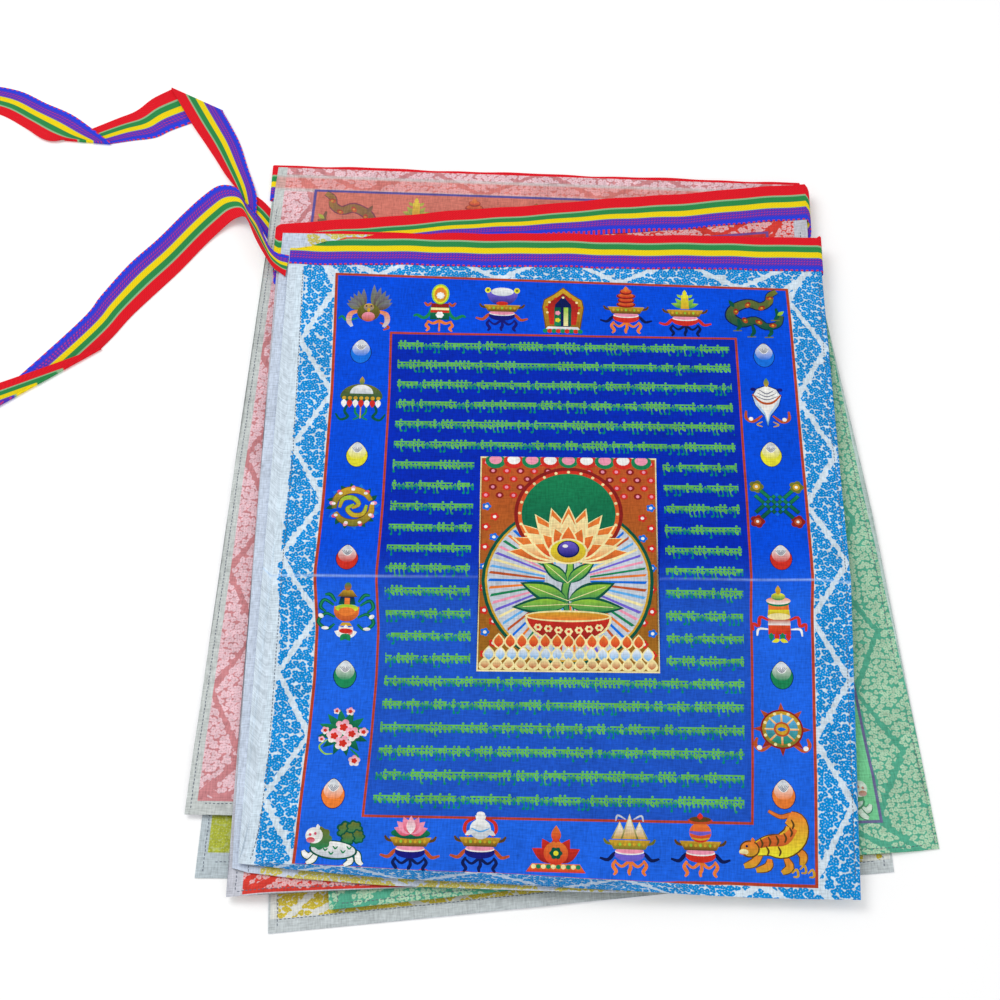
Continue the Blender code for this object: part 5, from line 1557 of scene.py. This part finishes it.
def buildTie(name, rests):
    columns = np.linspace(0, 1, ties["columns"])
    grid = []
    stretches = ties[name]
    for number, table in enumerate(stretches):
        rows = smoothRows(table)
        if number:
            fold = np.array(stretches[number - 1][-1], float)
            red, blue, zTo = fold[:3], fold[3:], table[0][2]
            earlier = np.array(grid[-4]).mean(axis=0)
            across = blue - red
            outward = np.array([across[1], -across[0], 0.0])
            outward *= np.sign(outward @ ((red + blue) / 2 - earlier)) / np.linalg.norm(outward)
            middle, radius = (fold[2] + zTo) / 2, (zTo - fold[2]) / 2
            for step in range(1, ties["turnSteps"] + 1):
                angle = math.pi * step / (ties["turnSteps"] + 1)
                shift = outward * abs(radius) * math.sin(angle)
                z = middle - radius * math.cos(angle)
                grid.append([(*(red + across * c + shift)[:2], z) for c in columns])
        for row in rows:
            red, blue = row[:3], row[3:]
            grid.append([tuple(red + (blue - red) * c) for c in columns])
    piece, length = ribbonPiece(name + "_woven", grid, columns, ties["thickness"], tapeLook)
    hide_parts(name)
    sheets.append((piece, (0.026, round(length, 3)), "laid", rests))


buildTie("tie_upper", "floor")
buildTie("tie_lower", "header_tape_woven")
print("stage: ties laid")

room = {
    "floorSize": 6.0, "floorColour": (0.95, 0.95, 0.95), "floorGlow": 0.15, "sky": 0.56,
    "keyPower": 17.0, "keySize": 1.2, "keyAt": (-0.9, 0.5, 1.7), "fillPower": 5.0, "fillSize": 1.8, "fillAt": (1.0, -0.8, 1.7),
}


def buildRoom():
    half = room["floorSize"] / 2
    mesh = bpy.data.meshes.new("floor")
    mesh.from_pydata([(-half, -half, 0), (half, -half, 0), (half, half, 0), (-half, half, 0)], [], [(0, 1, 2, 3)])
    material = bpy.data.materials.new("paper_floor")
    material.use_nodes = True
    shader = material.node_tree.nodes["Principled BSDF"]
    shader.inputs["Base Color"].default_value = (*room["floorColour"], 1.0)
    shader.inputs["Roughness"].default_value = 0.9
    shader.inputs["Emission Color"].default_value = (1.0, 1.0, 1.0, 1.0)
    shader.inputs["Emission Strength"].default_value = room["floorGlow"]
    mesh.materials.append(material)
    floor = bpy.data.objects.new("floor", mesh)
    bpy.context.scene.collection.objects.link(floor)
    world = bpy.data.worlds.new("studio")
    world.use_nodes = True
    world.node_tree.nodes["Background"].inputs["Color"].default_value = (1.0, 1.0, 1.0, 1.0)
    world.node_tree.nodes["Background"].inputs["Strength"].default_value = room["sky"]
    bpy.context.scene.world = world
    for name, at, power, size in (("key", room["keyAt"], room["keyPower"], room["keySize"]),
                                  ("fill", room["fillAt"], room["fillPower"], room["fillSize"])):
        light = bpy.data.lights.new(name, "AREA")
        light.energy, light.size = power, size
        lamp = bpy.data.objects.new(name, light)
        lamp.location = at
        lamp.rotation_euler = (Vector((0.05, -0.05, 0)) - Vector(at)).to_track_quat("-Z", "Y").to_euler()
        bpy.context.scene.collection.objects.link(lamp)
    bpy.context.scene.view_settings.view_transform = "Standard"


viewpoint = {"at": (0.05905035, -0.63110104, 1.055918), "towards": (0.06277086, -0.0266172, 0.0127),
             "roll": 1.835, "lens": 79.2, "sensor": 36.0}


def buildCamera():
    camera = bpy.data.objects.new("camera", bpy.data.cameras.new("camera"))
    camera.data.lens = viewpoint["lens"]
    camera.data.sensor_width = viewpoint["sensor"]
    camera.data.clip_end = 20.0
    away = Vector(viewpoint["towards"]) - Vector(viewpoint["at"])
    turned = away.to_track_quat("-Z", "Y").to_matrix().to_4x4()
    camera.matrix_world = Matrix.Translation(viewpoint["at"]) @ turned @ Matrix.Rotation(math.radians(viewpoint["roll"]), 4, "Z")
    bpy.context.scene.collection.objects.link(camera)
    bpy.context.scene.camera = camera


buildRoom()
buildCamera()
print("stage: sheets declared")
